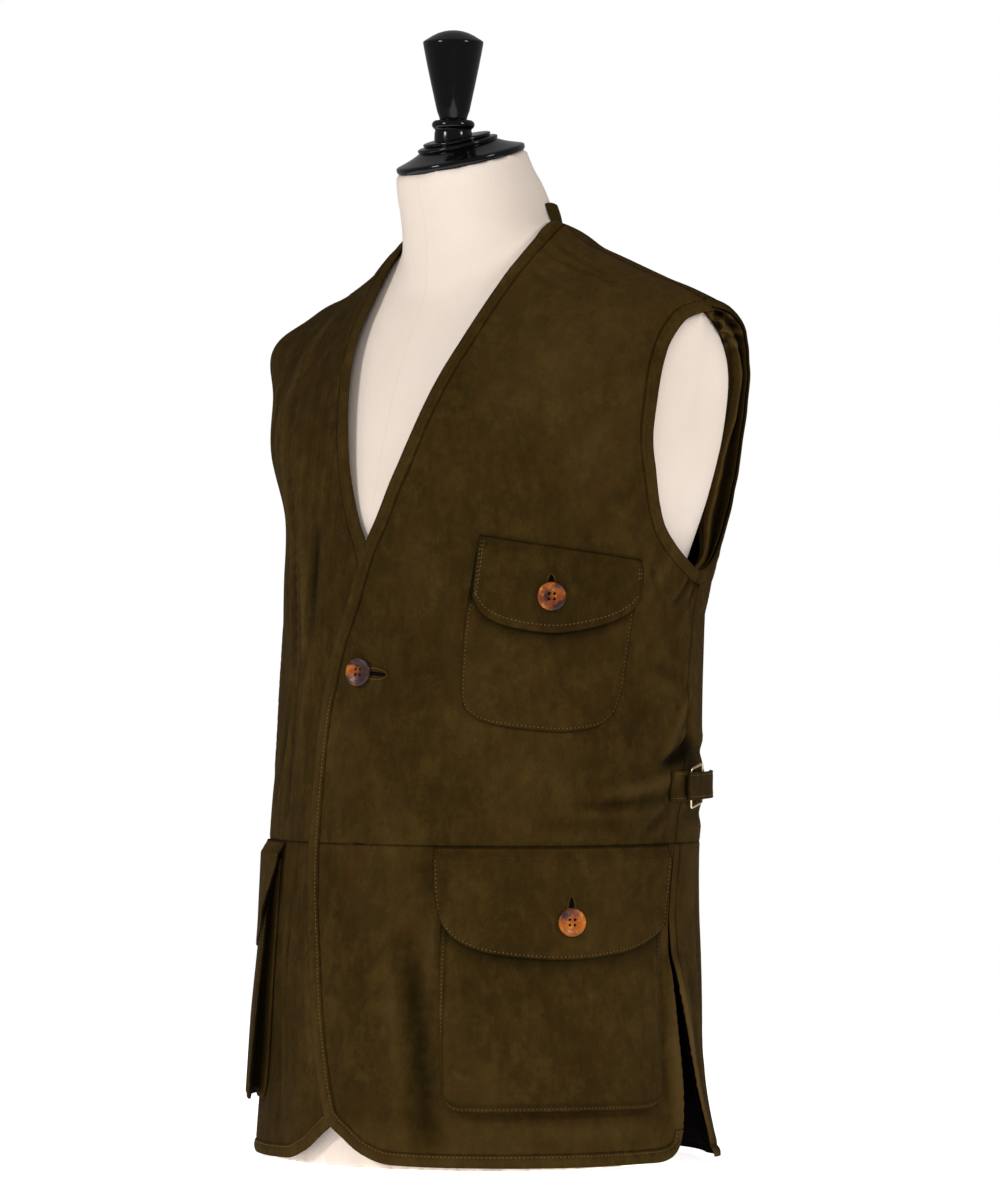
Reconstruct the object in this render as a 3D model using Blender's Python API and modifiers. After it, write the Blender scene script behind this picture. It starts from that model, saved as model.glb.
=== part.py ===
"""A leather vest worn by a limbless dress form: one button, a V neck, a chest pocket, two bellows pockets.

+Z is up, the front faces -Y and the wearer's left is +X. The origin is on the floor under the form.
Tables are in millimetres and degrees. An angle is measured round the body from the centre front
towards the wearer's left. A height is in millimetres up to the yoke, and above it runs over the
shoulder to the ridge, where front and back meet.
"""

import math

import bmesh
import bpy
import numpy as np
from mathutils import Matrix, Vector

# Sizes of the leather and the seams, in millimetres
MM = 0.001
WALL = 1.6
TRIM_WALL = 1.4
LINING_WALL = 1.0
SEAM = 0.35
HEM_BAND = 9.5
ARM_FACING = 10.0
ARM_SEAM = 0.55
ON_PANEL = WALL + 0.5
LAP_LIFT = 2.4
LINING_UNDER = -3.8

# Levels that the pieces share
WAIST = 257.0
YOKE = 560.0
RIDGE_TOP = 780.0
SIDE_SEAM = 104.0
BAND_END = 27.0

# Sections of the bare form: half width, front, back and middle in depth, and how square each half is
FORM_SECTIONS = {
    "height": (0, 60, 150, 258, 340, 430, 510, 560),
    "half":   (163, 165, 162, 149, 152, 164, 180, 189),
    "front":  (-133, -132, -124, -108, -100, -100, -100, -90),
    "back":   (148, 150, 144, 120, 122, 132, 138, 136),
    "middle": (6, 8, 12, 20, 28, 38, 46, 50),
    "front_square": (2.1, 2.1, 2.1, 2.1, 2.1, 2.1, 2.2, 2.3),
    "back_square":  (2.4, 2.4, 2.4, 2.4, 2.4, 2.4, 2.6, 2.7),
}
# The same for the inside of the vest, which hangs clear of the form below the shoulders
VEST_SECTIONS = {
    "height": (0, 100, 180, 258, 330, 400, 480, 560),
    "half":   (184, 177, 177, 180, 182, 181, 185, 203),
    "front":  (-144, -140, -134, -127, -118, -112, -107, -97),
    "back":   (186, 184, 180, 173, 171, 172, 162, 152),
    "middle": (10, 12, 16, 22, 30, 38, 46, 50),
    "front_square": (2.0, 2.0, 2.0, 2.05, 2.1, 2.1, 2.1, 2.3),
    "back_square":  (2.5, 2.5, 2.5, 2.5, 2.5, 2.5, 2.6, 2.8),
}
# The shoulder ridge, from the neck out to the end of the shoulder: the wearer's right one lies lower
RIDGE = {
    "out":   (0, 60, 75, 85, 95, 115, 145, 165, 190, 215, 232),
    "depth": (40, 43.8, 45, 46, 47, 49, 52, 54, 57, 63, 70),
    "left":  (763, 757, 752, 745, 739, 730.5, 718, 710.5, 702, 688, 666),
    "right": (763, 757, 750, 740, 731.5, 720.5, 708, 701.5, 695, 682, 661),
}
VEST_SHOULDER = 230.0
FORM_SHOULDER = 214.0
# How far under the vest the ridge of the form lies: it carries the vest between the neck and the shoulder end
FORM_DROP = {
    "out":  (0, 85, 110, 150, 214, 232),
    "drop": (-3.0, -1.8, -1.1, -0.7, -4.0, -5.0),
}
VEST_DROP = {
    "out":  (0, 232),
    "drop": (0, 0),
}
RISE = (0.45, 0.50)
CREST = (0.45, 0.50)

# Neck of the form, leaning forward, with its top cut at the tilt of the cap: forwards, and a little to one side
NECK = {
    "height": (676, 716, 745, 775, 793, 806.5),
    "depth":  (30, 29, 26.5, 18, 7.5, 3.8),
    "radius": (68, 65.5, 63.5, 60.5, 56, 53),
    "tilt":   (0, 0, 1, 6, 11, 13),
    "aside":  (0, 0, 0.5, 1.5, 3, 3.5),
}

# Front edge of each front, from the neck down: height, and angle on the wearer's left and right
FRONT_EDGE = {
    "height": (780, 755, 734, 709, 690, 672, 656, 641, 628, 601, 576, 548, 515, 498, 475, 452,
               416, 389, 358, 315, 262, 211, 164, 100, 61, 38),
    "left":   (22.2, 24.5, 26.0, 26.6, 26.6, 26.2, 25.4, 24.2, 22.7, 18.9, 14.8, 9.5, 4.2, 1.1, -2.2, -5.2,
               -10.6, -13.2, -15.7, -16.7, -16.4, -15.3, -12.5, -8.2, -4.6, -1.7),
    "right":  (22.2, 21.6, 20.6, 19.4, 19.0, 18.8, 19.3, 19.1, 18.4, 15.8, 12.9, 9.4, 3.8, 0.2, -3.2, -6.6,
               -12.2, -15.5, -18.0, -19.3, -18.8, -17.4, -13.3, -8.2, -4.6, -1.7),
}
# Width of the band along that edge: it narrows up the neckline
BAND = {
    "height": (257, 416, 515, 601, 656, 780),
    "width":  (13, 13, 12, 10.5, 8.5, 8.5),
}
# Curved lower corner and hem that follow it, ending at the vent
HEM_RUN = {
    "angle":  (1.2, 4.9, 12.0, 22.0, 36.0, 50.0, 64.0, 78.0, 90.0, 99.0, 104.5, 108.2, 109.4),
    "height": (31.5, 25.5, 13.0, 5.0, 4.0, 4.0, 4.0, 4.0, 4.0, 4.0, 6.5, 14.0, BAND_END),
}
# Armhole, from the shoulder down the front, round the bottom and up the back
ARMHOLE_FRONT = {
    "angle":  (75.3, 73.9, 72.4, 72.8, 73.9, 76.4, 78.5, 81.8, 86.4, 91.0, 97.6),
    "height": (780, 750, 722, 692, 668, 627, 587, 548, 515, 499, 484),
}
ARMHOLE_BACK = {
    "angle":  (109.5, 113.5, 117.0, 118.5, 118.0, 116.0, 112.0, 107.0, 103.2),
    "height": (484, 503, 540, 580, 620, 660, 700, 745, 780),
}
ARMHOLE_BOTTOM = 475.0
# Back neck seam from the shoulder to the centre back
BACK_NECK = {
    "angle":  (150.0, 153.5, 160.0, 170.0, 180.0),
    "height": (780, 750, 727, 710, 705),
}
# Vent at each side: the rear edge of the front, the front edge of the back
VENT = {
    "height": (WAIST, 192, 120, 60, BAND_END + 2.0),
    "front":  (103.6, 103.2, 106.2, 109.0, 109.4),
}
VENT_BACK = {
    "height": (WAIST, 192, 120, 60, 4),
    "angle":  (104.4, 104.8, 108.0, 111.0, 112.5),
}
# Large soft folds: where each is, its half spans, how far it stands out and how it leans
FOLDS = {
    "angle":  (27, 8, -30, -24, 150, 205, 180, 92, 96, 165, 238, -65, -57, -56),
    "height": (110, 110, 100, 330, 300, 300, 120, 292, 545, 520, 400, 675, 525, 335),
    "across": (5, 8, 6, 5, 9, 9, 10, 14, 7, 10, 9, 12, 12, 12),
    "along":  (85, 80, 90, 110, 110, 120, 130, 9, 60, 90, 90, 33, 36, 60),
    "out":    (-4.5, 2.5, -3.0, 3.0, 6.0, 6.5, 5.0, 2.5, 3.0, -4.0, 3.5, 13.0, -4.5, -2.0),
    "lean":   (0.02, 0.0, -0.02, 0.0, -0.03, 0.03, 0.0, 0.0, 0.0, 0.02, 0.0, 0.0, 0.0, 0.0),
}
# How far the back stands away at the armholes and beside the vents
ARM_FLARE = {
    "height": (440, 500, 540, 590, 640, 680, 720, 750, 780),
    "out":    (0, 12, 20, 30, 36, 32, 20, 7, 0),
}
VENT_FLARE = {
    "height": (0, 30, 60, 120, 192, 257),
    "out":    (28, 25, 21, 12, 3, 0),
}
# How much fuller the form is behind the armholes
FORM_FLARE = {
    "height": (440, 500, 540, 590, 640, 680, 720, 750, 780),
    "out":    (0, 8, 17, 26, 31, 26, 13, 3, 0),
}
# Angles from the front between which each flare comes in: behind the armhole, before it, and at the vent
ARM_FLARE_BEHIND = (158, 122)
ARM_FLARE_BEFORE = (96, 114)
VENT_FLARE_WITHIN = (134, 112)
# Angles between which the wearer's left front rises over the right one
LAP_ANGLES = (34, 20)
# How far form and vest rise to the nape
NAPE_RISE = 20.0
NAPE_ACROSS = 22.0
NAPE_HEIGHT = 705.0
NAPE_ALONG = 38.0
# Points that a smooth curve gets for each row of its table
CURVE_STEPS = 6


def along(table, column, at):
    """Smooth value of a table column at heights or positions, with no overshoot."""
    first = next(iter(table))
    xs = np.array(table[first], float)
    ys = np.array(table[column], float)
    if xs[0] > xs[-1]:
        xs = xs[::-1]
        ys = ys[::-1]
    step = np.diff(xs)
    rate = np.diff(ys) / step
    slope = np.zeros_like(ys)
    slope[0] = rate[0]
    slope[-1] = rate[-1]
    for k in range(1, len(ys) - 1):
        if rate[k - 1] * rate[k] > 0:
            near = 2 * step[k] + step[k - 1]
            far = step[k] + 2 * step[k - 1]
            slope[k] = (near + far) / (near / rate[k - 1] + far / rate[k])
    at = np.clip(at, xs[0], xs[-1])
    i = np.clip(np.searchsorted(xs, at) - 1, 0, len(step) - 1)
    t = (at - xs[i]) / step[i]
    return ((1 + 2 * t) * (1 - t) ** 2 * ys[i] + t * (1 - t) ** 2 * step[i] * slope[i]
            + t * t * (3 - 2 * t) * ys[i + 1] + t * t * (t - 1) * step[i] * slope[i + 1])


def soft(value, start, end):
    """0 at start, 1 at end, with a soft curve between."""
    t = np.clip((np.asarray(value, float) - start) / (end - start), 0, 1)
    return t * t * (3 - 2 * t)


def section(body, angle, height):
    """Point of one level section, as the ray at this angle meets it."""
    turn = np.radians(angle)
    sine = np.sin(turn)
    cosine = np.cos(turn)
    middle = along(body, "middle", height)
    ahead = cosine > 0
    half = along(body, "half", height)
    deep = np.where(ahead, middle - along(body, "front", height), along(body, "back", height) - middle)
    square = np.where(ahead, along(body, "front_square", height), along(body, "back_square", height))
    reach = ((np.abs(sine) / half) ** square + (np.abs(cosine) / deep) ** square) ** (-1 / square)
    return np.stack([reach * sine, middle - reach * cosine, height + 0 * reach], -1)


def body_point(body, shoulder, drop, angle, height):
    """Point of the form or the vest: level sections up to the yoke, then arches to the shoulder ridge."""
    angle, height = np.broadcast_arrays(np.asarray(angle, float), np.asarray(height, float))
    low = section(body, angle, np.minimum(height, YOKE))
    start = section(body, angle, np.full_like(height, YOKE))
    lean = (start - section(body, angle, np.full_like(height, YOKE - 2))) / 2
    out = start[..., 0] * shoulder / body["half"][-1]
    top = np.where(out < 0, along(RIDGE, "right", np.abs(out)), along(RIDGE, "left", np.abs(out)))
    ridge = np.stack([out, along(RIDGE, "depth", np.abs(out)), top + along(drop, "drop", np.abs(out))], -1)
    ahead = np.cos(np.radians(angle)) > 0
    rise = np.where(ahead, RISE[0], RISE[1])[..., None]
    crest = np.where(ahead, CREST[0], CREST[1])
    after = start + lean * (ridge[..., 2:] - YOKE) * rise
    before = ridge.copy()
    before[..., 1] += (start[..., 1] - ridge[..., 1]) * crest
    t = np.clip((height - YOKE) / (RIDGE_TOP - YOKE), 0, 1)[..., None]
    arch = ((1 - t) ** 3 * start + 3 * t * (1 - t) ** 2 * after
            + 3 * t * t * (1 - t) * before + t ** 3 * ridge)
    gap = np.mod(angle, 360.0) - 180
    arch[..., 2] += NAPE_RISE * np.exp(-(gap / NAPE_ACROSS) ** 2 - ((height - NAPE_HEIGHT) / NAPE_ALONG) ** 2)
    return np.where((height > YOKE)[..., None], arch, low)


def vest_base(angle, height):
    return body_point(VEST_SECTIONS, VEST_SHOULDER, VEST_DROP, angle, height)


def normals(surface, angle, height):
    """Outward unit normals of a surface that is a function of angle and height."""
    height = np.minimum(height, RIDGE_TOP - 0.3)
    across = surface(angle + 0.2, height) - surface(angle - 0.2, height)
    up = surface(angle, height + 0.3) - surface(angle, height - 0.3)
    normal = np.cross(across, up)
    return normal / np.linalg.norm(normal, axis=-1, keepdims=True)


def stand_off(angle, height):
    """How far the folds move the cloth out from its plain form."""
    total = np.zeros(np.shape(angle))
    for row in range(len(FOLDS["angle"])):
        rise = height - FOLDS["height"][row]
        gap = np.mod(angle - FOLDS["angle"][row] - FOLDS["lean"][row] * rise + 180, 360) - 180
        total = total + FOLDS["out"][row] * np.exp(
            -(gap / FOLDS["across"][row]) ** 2 - (rise / FOLDS["along"][row]) ** 2)
    return total


def arm_flare(flare, angle, height):
    """How far form or vest stands away level behind the armholes."""
    round_body = np.mod(angle, 360.0)
    from_front = np.minimum(round_body, 360 - round_body)
    away = along(flare, "out", height) * soft(from_front, *ARM_FLARE_BEHIND) * soft(from_front, *ARM_FLARE_BEFORE)
    turn = np.radians(angle)
    return away[..., None] * np.stack([np.sin(turn), -np.cos(turn), 0 * turn], -1)


def vent_flare(grid):
    """How far the back and its lining stand away beside the vents."""
    from_front = np.minimum(grid[..., 0], 360 - grid[..., 0])
    return along(VENT_FLARE, "out", grid[..., 1]) * soft(from_front, *VENT_FLARE_WITHIN)


def cloth(angle, height):
    """Inner face of the vest with its folds."""
    base = vest_base(angle, height)
    off = stand_off(angle, height)
    return base + normals(vest_base, angle, height) * off[..., None] + arm_flare(ARM_FLARE, angle, height)


def skin(angle, height, out=0.0):
    """Point of the vest this many millimetres outside its inner face."""
    angle, height, out = np.broadcast_arrays(
        np.asarray(angle, float), np.asarray(height, float), np.asarray(out, float))
    return cloth(angle, height) + normals(cloth, angle, height) * out[..., None]


def lap(side, angle):
    """Lift of the wearer's left front where it laps over the right one."""
    return LAP_LIFT * soft(angle, *LAP_ANGLES) if side > 0 else 0.0 * angle


def stations(path, start, end, count):
    """Places along a path of (angle, height) rows, as row numbers with fractions, spaced by length on the cloth."""
    fine = np.linspace(start, end, 8 * count + 1)
    on_cloth = vest_base(*at_rows(path, fine).T)
    run = np.concatenate([[0], np.cumsum(np.linalg.norm(np.diff(on_cloth, axis=0), axis=1))])
    return np.interp(np.linspace(0, run[-1], count + 1), run, fine)


def at_rows(path, rows):
    """Points of a path at row numbers with fractions."""
    number = np.arange(len(path))
    return np.stack([np.interp(rows, number, path[:, k]) for k in (0, 1)], -1)


def resample(points, count):
    """Points spaced evenly along a path of (angle, height) rows, by its length on the cloth."""
    points = np.array(points, float)
    return at_rows(points, stations(points, 0, len(points) - 1, count))


def smooth_path(points, fine=CURVE_STEPS):
    """A path of (angle, height) rows made finer by a smooth curve through its points."""
    points = np.array(points, float)
    count = np.arange(len(points), dtype=float)
    table = {"at": count, "angle": points[:, 0], "height": points[:, 1]}
    at = np.linspace(0, count[-1], (len(points) - 1) * fine + 1)
    return np.stack([along(table, "angle", at), along(table, "height", at)], -1)


def inset(path, width):
    """The path moved sideways on the cloth by this many millimetres, or by one number for each row, to the left."""
    path = np.array(path, float)
    height = np.minimum(path[:, 1], RIDGE_TOP - 0.3)
    across = (vest_base(path[:, 0] + 0.2, height) - vest_base(path[:, 0] - 0.2, height)) / 0.4
    up = (vest_base(path[:, 0], height + 0.3) - vest_base(path[:, 0], height - 0.3)) / 0.6
    step = np.gradient(path, axis=0)
    ahead = across * step[:, :1] + up * step[:, 1:]
    ahead /= np.linalg.norm(ahead, axis=1, keepdims=True)
    left = np.cross(normals(vest_base, path[:, 0], height), ahead)
    aa = (across * across).sum(1)
    au = (across * up).sum(1)
    uu = (up * up).sum(1)
    la = (left * across).sum(1)
    lu = (left * up).sum(1)
    det = aa * uu - au * au
    moved = np.stack([(la * uu - lu * au) / det, (lu * aa - la * au) / det], -1)
    return path + moved * np.broadcast_to(width, len(path))[:, None]


def fill(bottom, right, top, left):
    """Grid of (angle, height) inside four edges, each an array of points from left to right or upwards."""
    across = np.linspace(0, 1, len(bottom))[None, :, None]
    up = np.linspace(0, 1, len(left))[:, None, None]
    edges = (1 - up) * bottom[None] + up * top[None] + (1 - across) * left[:, None] + across * right[:, None]
    corners = ((1 - up) * ((1 - across) * bottom[0] + across * bottom[-1])
               + up * ((1 - across) * top[0] + across * top[-1]))
    return edges - corners


def clear_scene():
    for old in list(bpy.data.objects):
        bpy.data.objects.remove(old, do_unlink=True)


def make_collection(name):
    made = bpy.data.collections.new(name)
    bpy.context.scene.collection.children.link(made)
    return made


def make_material(name, colour, roughness, metallic=0.0):
    made = bpy.data.materials.new(name)
    made.use_nodes = True
    shader = made.node_tree.nodes["Principled BSDF"]
    shader.inputs["Base Color"].default_value = (*colour, 1)
    shader.inputs["Roughness"].default_value = roughness
    shader.inputs["Metallic"].default_value = metallic
    return made


def make_object(name, shape, look):
    made = bpy.data.objects.new(name, shape)
    shape.materials.append(look)
    vest_parts.objects.link(made)
    return made


def grid_mesh(name, points):
    """A sheet of quads through a grid of points in millimetres."""
    rows, columns = points.shape[:2]
    sheet = bmesh.new()
    bmesh.ops.create_grid(sheet, x_segments=columns - 1, y_segments=rows - 1, size=1.0)
    for vertex in sheet.verts:
        column = round((vertex.co.x + 1) / 2 * (columns - 1))
        row = round((vertex.co.y + 1) / 2 * (rows - 1))
        vertex.co = Vector(points[row, column]) * MM
    mesh = bpy.data.meshes.new(name)
    sheet.to_mesh(mesh)
    sheet.free()
    return mesh


def leather(name, side, grid, out, look, wall=WALL):
    """A cut piece: the sheet through its grid of angles and heights, given its wall outwards."""
    if side < 0:
        grid = grid[:, ::-1]
        out = out[:, ::-1] if np.ndim(out) == 2 else out
    mesh = grid_mesh(name, skin(side * grid[..., 0], grid[..., 1], out))
    made = make_object(name, mesh, look)
    thick = made.modifiers.new("wall", "SOLIDIFY")
    thick.thickness = wall * MM
    thick.offset = 1.0
    thick.use_even_offset = False
    return made


def turned(name, profile, look, segments, place):
    """A turned piece from rows of (radius, height) in millimetres, from the top down."""
    outline = bmesh.new()
    rows = [outline.verts.new((radius * MM, 0, height * MM)) for radius, height in profile]
    for upper, lower in zip(rows, rows[1:]):
        outline.edges.new((upper, lower))
    mesh = bpy.data.meshes.new(name)
    outline.to_mesh(mesh)
    outline.free()
    made = make_object(name, mesh, look)
    made.matrix_world = place
    spin = made.modifiers.new("turn", "SCREW")
    spin.steps = segments
    spin.render_steps = segments
    spin.use_merge_vertices = True
    spin.merge_threshold = 0.00001
    spin.use_normal_calculate = False
    return made


def cut(made, cutter):
    hole = made.modifiers.new("cut", "BOOLEAN")
    hole.operation = "DIFFERENCE"
    hole.solver = "EXACT"
    hole.object = cutter


def add_cutter(name, mesh):
    made = bpy.data.objects.new(name, mesh)
    cutters.objects.link(made)
    made.hide_render = True
    made.display_type = "WIRE"
    return made


def facing(angle, height, out):
    """Matrix that sets a piece made along +Z on the vest, facing straight out, its +Y up the cloth."""
    at = skin(angle, height, out)
    normal = Vector(normals(cloth, np.array(float(angle)), np.array(float(height))))
    up = Vector((0, 0, 1))
    right = up.cross(normal).normalized()
    up = normal.cross(right)
    turn = Matrix((right, up, normal)).transposed().to_4x4()
    return Matrix.Translation(Vector(at) * MM) @ turn


clear_scene()
vest_parts = make_collection("leather_vest")
cutters = make_collection("cutters")
suede = make_material("olive brown suede", (0.042, 0.024, 0.006), 0.95)
lining_cloth = make_material("black lining", (0.006, 0.005, 0.004), 0.7)
canvas = make_material("cream canvas", (0.80, 0.70, 0.62), 0.9)
lacquer = make_material("black lacquer", (0.006, 0.006, 0.006), 0.12)
horn = make_material("tortoiseshell", (0.22, 0.07, 0.018), 0.3)
wire = make_material("pale gold wire", (0.66, 0.54, 0.38), 0.25, 1.0)

# The dress form: torso lofted through its sections and over its shoulders, joined with the neck
FORM_COLUMNS = 32
FORM_ROWS = (0, 30, 60, 105, 150, 205, 258, 300, 340, 385, 430, 470, 510, 560,
             585, 610, 635, 660, 685, 705, 725, 740, 752, 762, 771, 780)


def form_point(angle, height):
    return body_point(FORM_SECTIONS, FORM_SHOULDER, FORM_DROP, angle, height) + arm_flare(FORM_FLARE, angle, height)


def close_rings(name, rings, look):
    """A closed body lofted through rings of points, with flat ends."""
    body = bmesh.new()
    made_rings = [[body.verts.new(Vector(point) * MM) for point in ring] for ring in rings]
    count = len(made_rings[0])
    for low, high in zip(made_rings, made_rings[1:]):
        for k in range(count):
            body.faces.new((low[k], low[(k + 1) % count], high[(k + 1) % count], high[k]))
    body.faces.new(made_rings[0][::-1])
    body.faces.new(made_rings[-1])
    bmesh.ops.remove_doubles(body, verts=body.verts, dist=0.02 * MM)
    bmesh.ops.dissolve_degenerate(body, dist=0.01 * MM, edges=body.edges)
    bmesh.ops.recalc_face_normals(body, faces=body.faces)
    mesh = bpy.data.meshes.new(name)
    body.to_mesh(mesh)
    body.free()
    return mesh


def ridge_angles(shoulder, body, count):
    """Angles whose arches meet the ridge in matching pairs from the front and from the back."""
    fine = np.linspace(0, 90, 721)
    ahead = section(body, fine, np.full_like(fine, YOKE))[:, 0]
    behind = section(body, 180 - fine, np.full_like(fine, YOKE))[:, 0]
    quarter = np.linspace(0, 90, count + 1)
    reach = np.interp(quarter, fine, ahead)
    back = 180 - np.interp(reach, behind, fine)
    front = quarter
    half = np.concatenate([front, back[::-1][1:]])
    return np.concatenate([half, 360 - half[::-1][1:-1]])


form_angles = ridge_angles(FORM_SHOULDER, FORM_SECTIONS, FORM_COLUMNS // 4)
torso_rings = [form_point(form_angles, np.full_like(form_angles, float(level))) for level in FORM_ROWS]
dress_form = make_object("dress_form", close_rings("dress_form", torso_rings, canvas), canvas)

NECK_COLUMNS = 32
neck_turn = np.radians(np.linspace(0, 360, NECK_COLUMNS, endpoint=False))
neck_rings = []
for row in range(len(NECK["height"])):
    lean = math.radians(NECK["tilt"][row])
    ring_x = NECK["radius"][row] * np.sin(neck_turn)
    ring_y = -NECK["radius"][row] * np.cos(neck_turn)
    aside = math.tan(math.radians(NECK["aside"][row]))
    neck_rings.append(np.stack([
        ring_x,
        NECK["depth"][row] + ring_y * math.cos(lean),
        NECK["height"][row] + ring_y * math.sin(lean) + ring_x * aside], -1))
neck = add_cutter("neck", close_rings("neck", neck_rings, canvas))
join = dress_form.modifiers.new("neck", "BOOLEAN")
join.operation = "UNION"
join.solver = "EXACT"
join.object = neck

# Lacquered cap on the neck and the turned finial that stands in it
CAP_TILT = math.radians(13)
CAP_ASIDE = math.radians(3.5)
CAP_BASE = (0, 3.8, 806.9)
CAP_SEGMENTS = 32
FINIAL_SEGMENTS = 20
cap_place = (Matrix.Translation(Vector(CAP_BASE) * MM) @ Matrix.Rotation(CAP_TILT, 4, "X")
             @ Matrix.Rotation(-CAP_ASIDE, 4, "Y"))
CAP_PROFILE = ((0, 19.5), (27.0, 19.5), (27.7, 18.6), (27.2, 16.4), (32.0, 15.8), (33.0, 14.6),
               (32.2, 12.6), (38.0, 9.6), (46.0, 6.6), (52.0, 4.6), (53.0, 3.4), (52.4, 0.2), (0, 0.0))
neck_cap = turned("neck_cap", CAP_PROFILE, lacquer, CAP_SEGMENTS, cap_place)
FINIAL_BASE = (0, -5.5, 815.0)
FINIAL_PROFILE = ((0, 97.5), (8, 97.0), (17, 94.6), (22.5, 91.2), (24.4, 87.8), (23.6, 82.0),
                  (18.2, 55.0), (13.2, 32.0), (10.9, 25.0), (15.6, 24.2), (17.4, 21.2), (16.6, 18.4),
                  (15.2, 16.4), (15.4, 6.0), (0, 6.0))
FOOT_CLEAR = 0.4
CAP_HEIGHT = 19.5
STEM_RADIUS = 9.0
STEM_LENGTH = 20.0
SOCKET_RADIUS = 9.3
SOCKET_DEPTH = 40.0


def cylinder(name, radius, length, sides, place):
    """A cylinder along +Z from its lower end, in millimetres, that cuts or joins."""
    shape = bmesh.new()
    bmesh.ops.create_cone(shape, cap_ends=True, segments=sides, radius1=radius * MM, radius2=radius * MM,
                          depth=length * MM, matrix=place @ Matrix.Translation((0, 0, length / 2 * MM)))
    mesh = bpy.data.meshes.new(name)
    shape.to_mesh(mesh)
    shape.free()
    return add_cutter(name, mesh)


finial_place = Matrix.Translation(Vector(FINIAL_BASE) * MM)
finial = turned("finial", FINIAL_PROFILE, lacquer, FINIAL_SEGMENTS, finial_place)
cut(finial, cylinder("cap_room", 2 * CAP_HEIGHT, CAP_HEIGHT + FOOT_CLEAR, 24, cap_place))
stem = finial.modifiers.new("stem", "BOOLEAN")
stem.operation = "UNION"
stem.solver = "EXACT"
stem.object = cylinder("stem", STEM_RADIUS, STEM_LENGTH, FINIAL_SEGMENTS, finial_place)
below_stem = finial_place @ Matrix.Translation((0, 0, -SEAM * MM))
cut(neck_cap, cylinder("socket", SOCKET_RADIUS, SOCKET_DEPTH, 32, below_stem))

# The two fronts: each is cut from the shoulder to the waist seam, and a skirt from there to the hem
FRONT_COLUMNS = 13
SIDE_ROWS = 7
SHOULDER_LEVELS = (474, 488, 514, 549, 585, 620, 651, 680, 704, 725, 742, 756, 768.5, 779.4)
SPLIT = 466.0
EDGE_GAP = 0.15
RIDGE_EDGE = SHOULDER_LEVELS[-1]
SIDE_GAP_DEGREES = 0.06
SKIRT_ROWS = 8
SKIRT_COLUMNS = 15
CORNER_ROW = 3
BAND_TURN = 24


def front_edge_path(side):
    """Neckline, front edge, curved corner and hem of a front, from the neck point to the vent."""
    column = "left" if side > 0 else "right"
    down = np.stack([FRONT_EDGE[column], FRONT_EDGE["height"]], -1)
    hem = np.stack([HEM_RUN["angle"], HEM_RUN["height"]], -1)
    path = smooth_path(np.concatenate([down, hem]))
    path[0, 1] = RIDGE_EDGE
    return path


def band_width(path):
    """Width of the front band along its path: it narrows round the lower corner to the hem."""
    wide = along(BAND, "width", path[:, 1])
    hem_start = len(path) - CURVE_STEPS * len(HEM_RUN["angle"])
    return wide + (HEM_BAND - wide) * soft(np.arange(len(path)), hem_start, hem_start + BAND_TURN)


def row_at_height(path, height):
    """Row number at which a downward path crosses a height."""
    down = path[: int(np.argmin(path[:, 1])) + 1]
    return float(np.interp(-height, -down[:, 1], np.arange(len(down))))


def armhole_path():
    """The armhole of one side, from the shoulder down the front and up the back."""
    front = np.stack([ARMHOLE_FRONT["angle"], ARMHOLE_FRONT["height"]], -1)
    back = np.stack([ARMHOLE_BACK["angle"], ARMHOLE_BACK["height"]], -1)
    path = smooth_path(np.concatenate([front, [(SIDE_SEAM, ARMHOLE_BOTTOM)], back]))
    path[[0, -1], 1] = RIDGE_EDGE
    return path


arm_path = armhole_path()
arm_seam = inset(arm_path, -(ARM_FACING + ARM_SEAM))
arm_seam[[0, -1], 1] = RIDGE_EDGE
arm_row = float(np.interp(SIDE_SEAM, arm_seam[:, 0], np.arange(len(arm_seam))))
arm_low = int(np.argmin(arm_seam[:, 1]))
arm_front_rows = np.concatenate([[arm_row], [row_at_height(arm_seam, level) for level in SHOULDER_LEVELS]])
arm_back_rows = np.concatenate([[arm_row], np.interp(
    SHOULDER_LEVELS, arm_seam[arm_low:, 1], np.arange(arm_low, len(arm_seam)))])


def side_and_arm(angle, rows, low):
    """Side seam and armhole seam of a panel, upwards from a height to the ridge."""
    arm = at_rows(arm_seam, rows)
    arm[0, 0] = angle
    side = resample([(angle, low), arm[0]], SIDE_ROWS)
    return np.concatenate([side[:-1], arm])


front_paths = {side: front_edge_path(side) for side in (1, -1)}
front_seams = {}
front_rows = {}
for side, path in front_paths.items():
    seam = inset(path, band_width(path) + SEAM)
    seam[0, 1] = RIDGE_EDGE
    split_row = row_at_height(seam, SPLIT)
    waist_row = row_at_height(seam, WAIST)
    corner_row = len(path) - 1 - CURVE_STEPS * (len(HEM_RUN["angle"]) - CORNER_ROW)
    last_row = len(path) - 1
    front_seams[side] = seam
    front_rows[side] = (np.array([split_row] + [row_at_height(seam, level) for level in SHOULDER_LEVELS]),
                        stations(path, waist_row, split_row, SIDE_ROWS),
                        stations(path, corner_row, waist_row, SKIRT_ROWS),
                        stations(path, corner_row, last_row, SKIRT_COLUMNS))


def front_upper(side):
    low = WAIST + EDGE_GAP
    seam = front_seams[side]
    neck_rows, chest_rows = front_rows[side][:2]
    left = np.concatenate([at_rows(seam, chest_rows)[:-1], at_rows(seam, neck_rows)])
    left[0, 1] = low
    right = side_and_arm(SIDE_SEAM - SIDE_GAP_DEGREES, arm_front_rows, low)
    grid = fill(resample([left[0], right[0]], FRONT_COLUMNS), right,
                resample([left[-1], right[-1]], FRONT_COLUMNS), left)
    name = "front_left" if side > 0 else "front_right"
    return leather(name, side, grid, lap(side, grid[..., 0]), suede)


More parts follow.
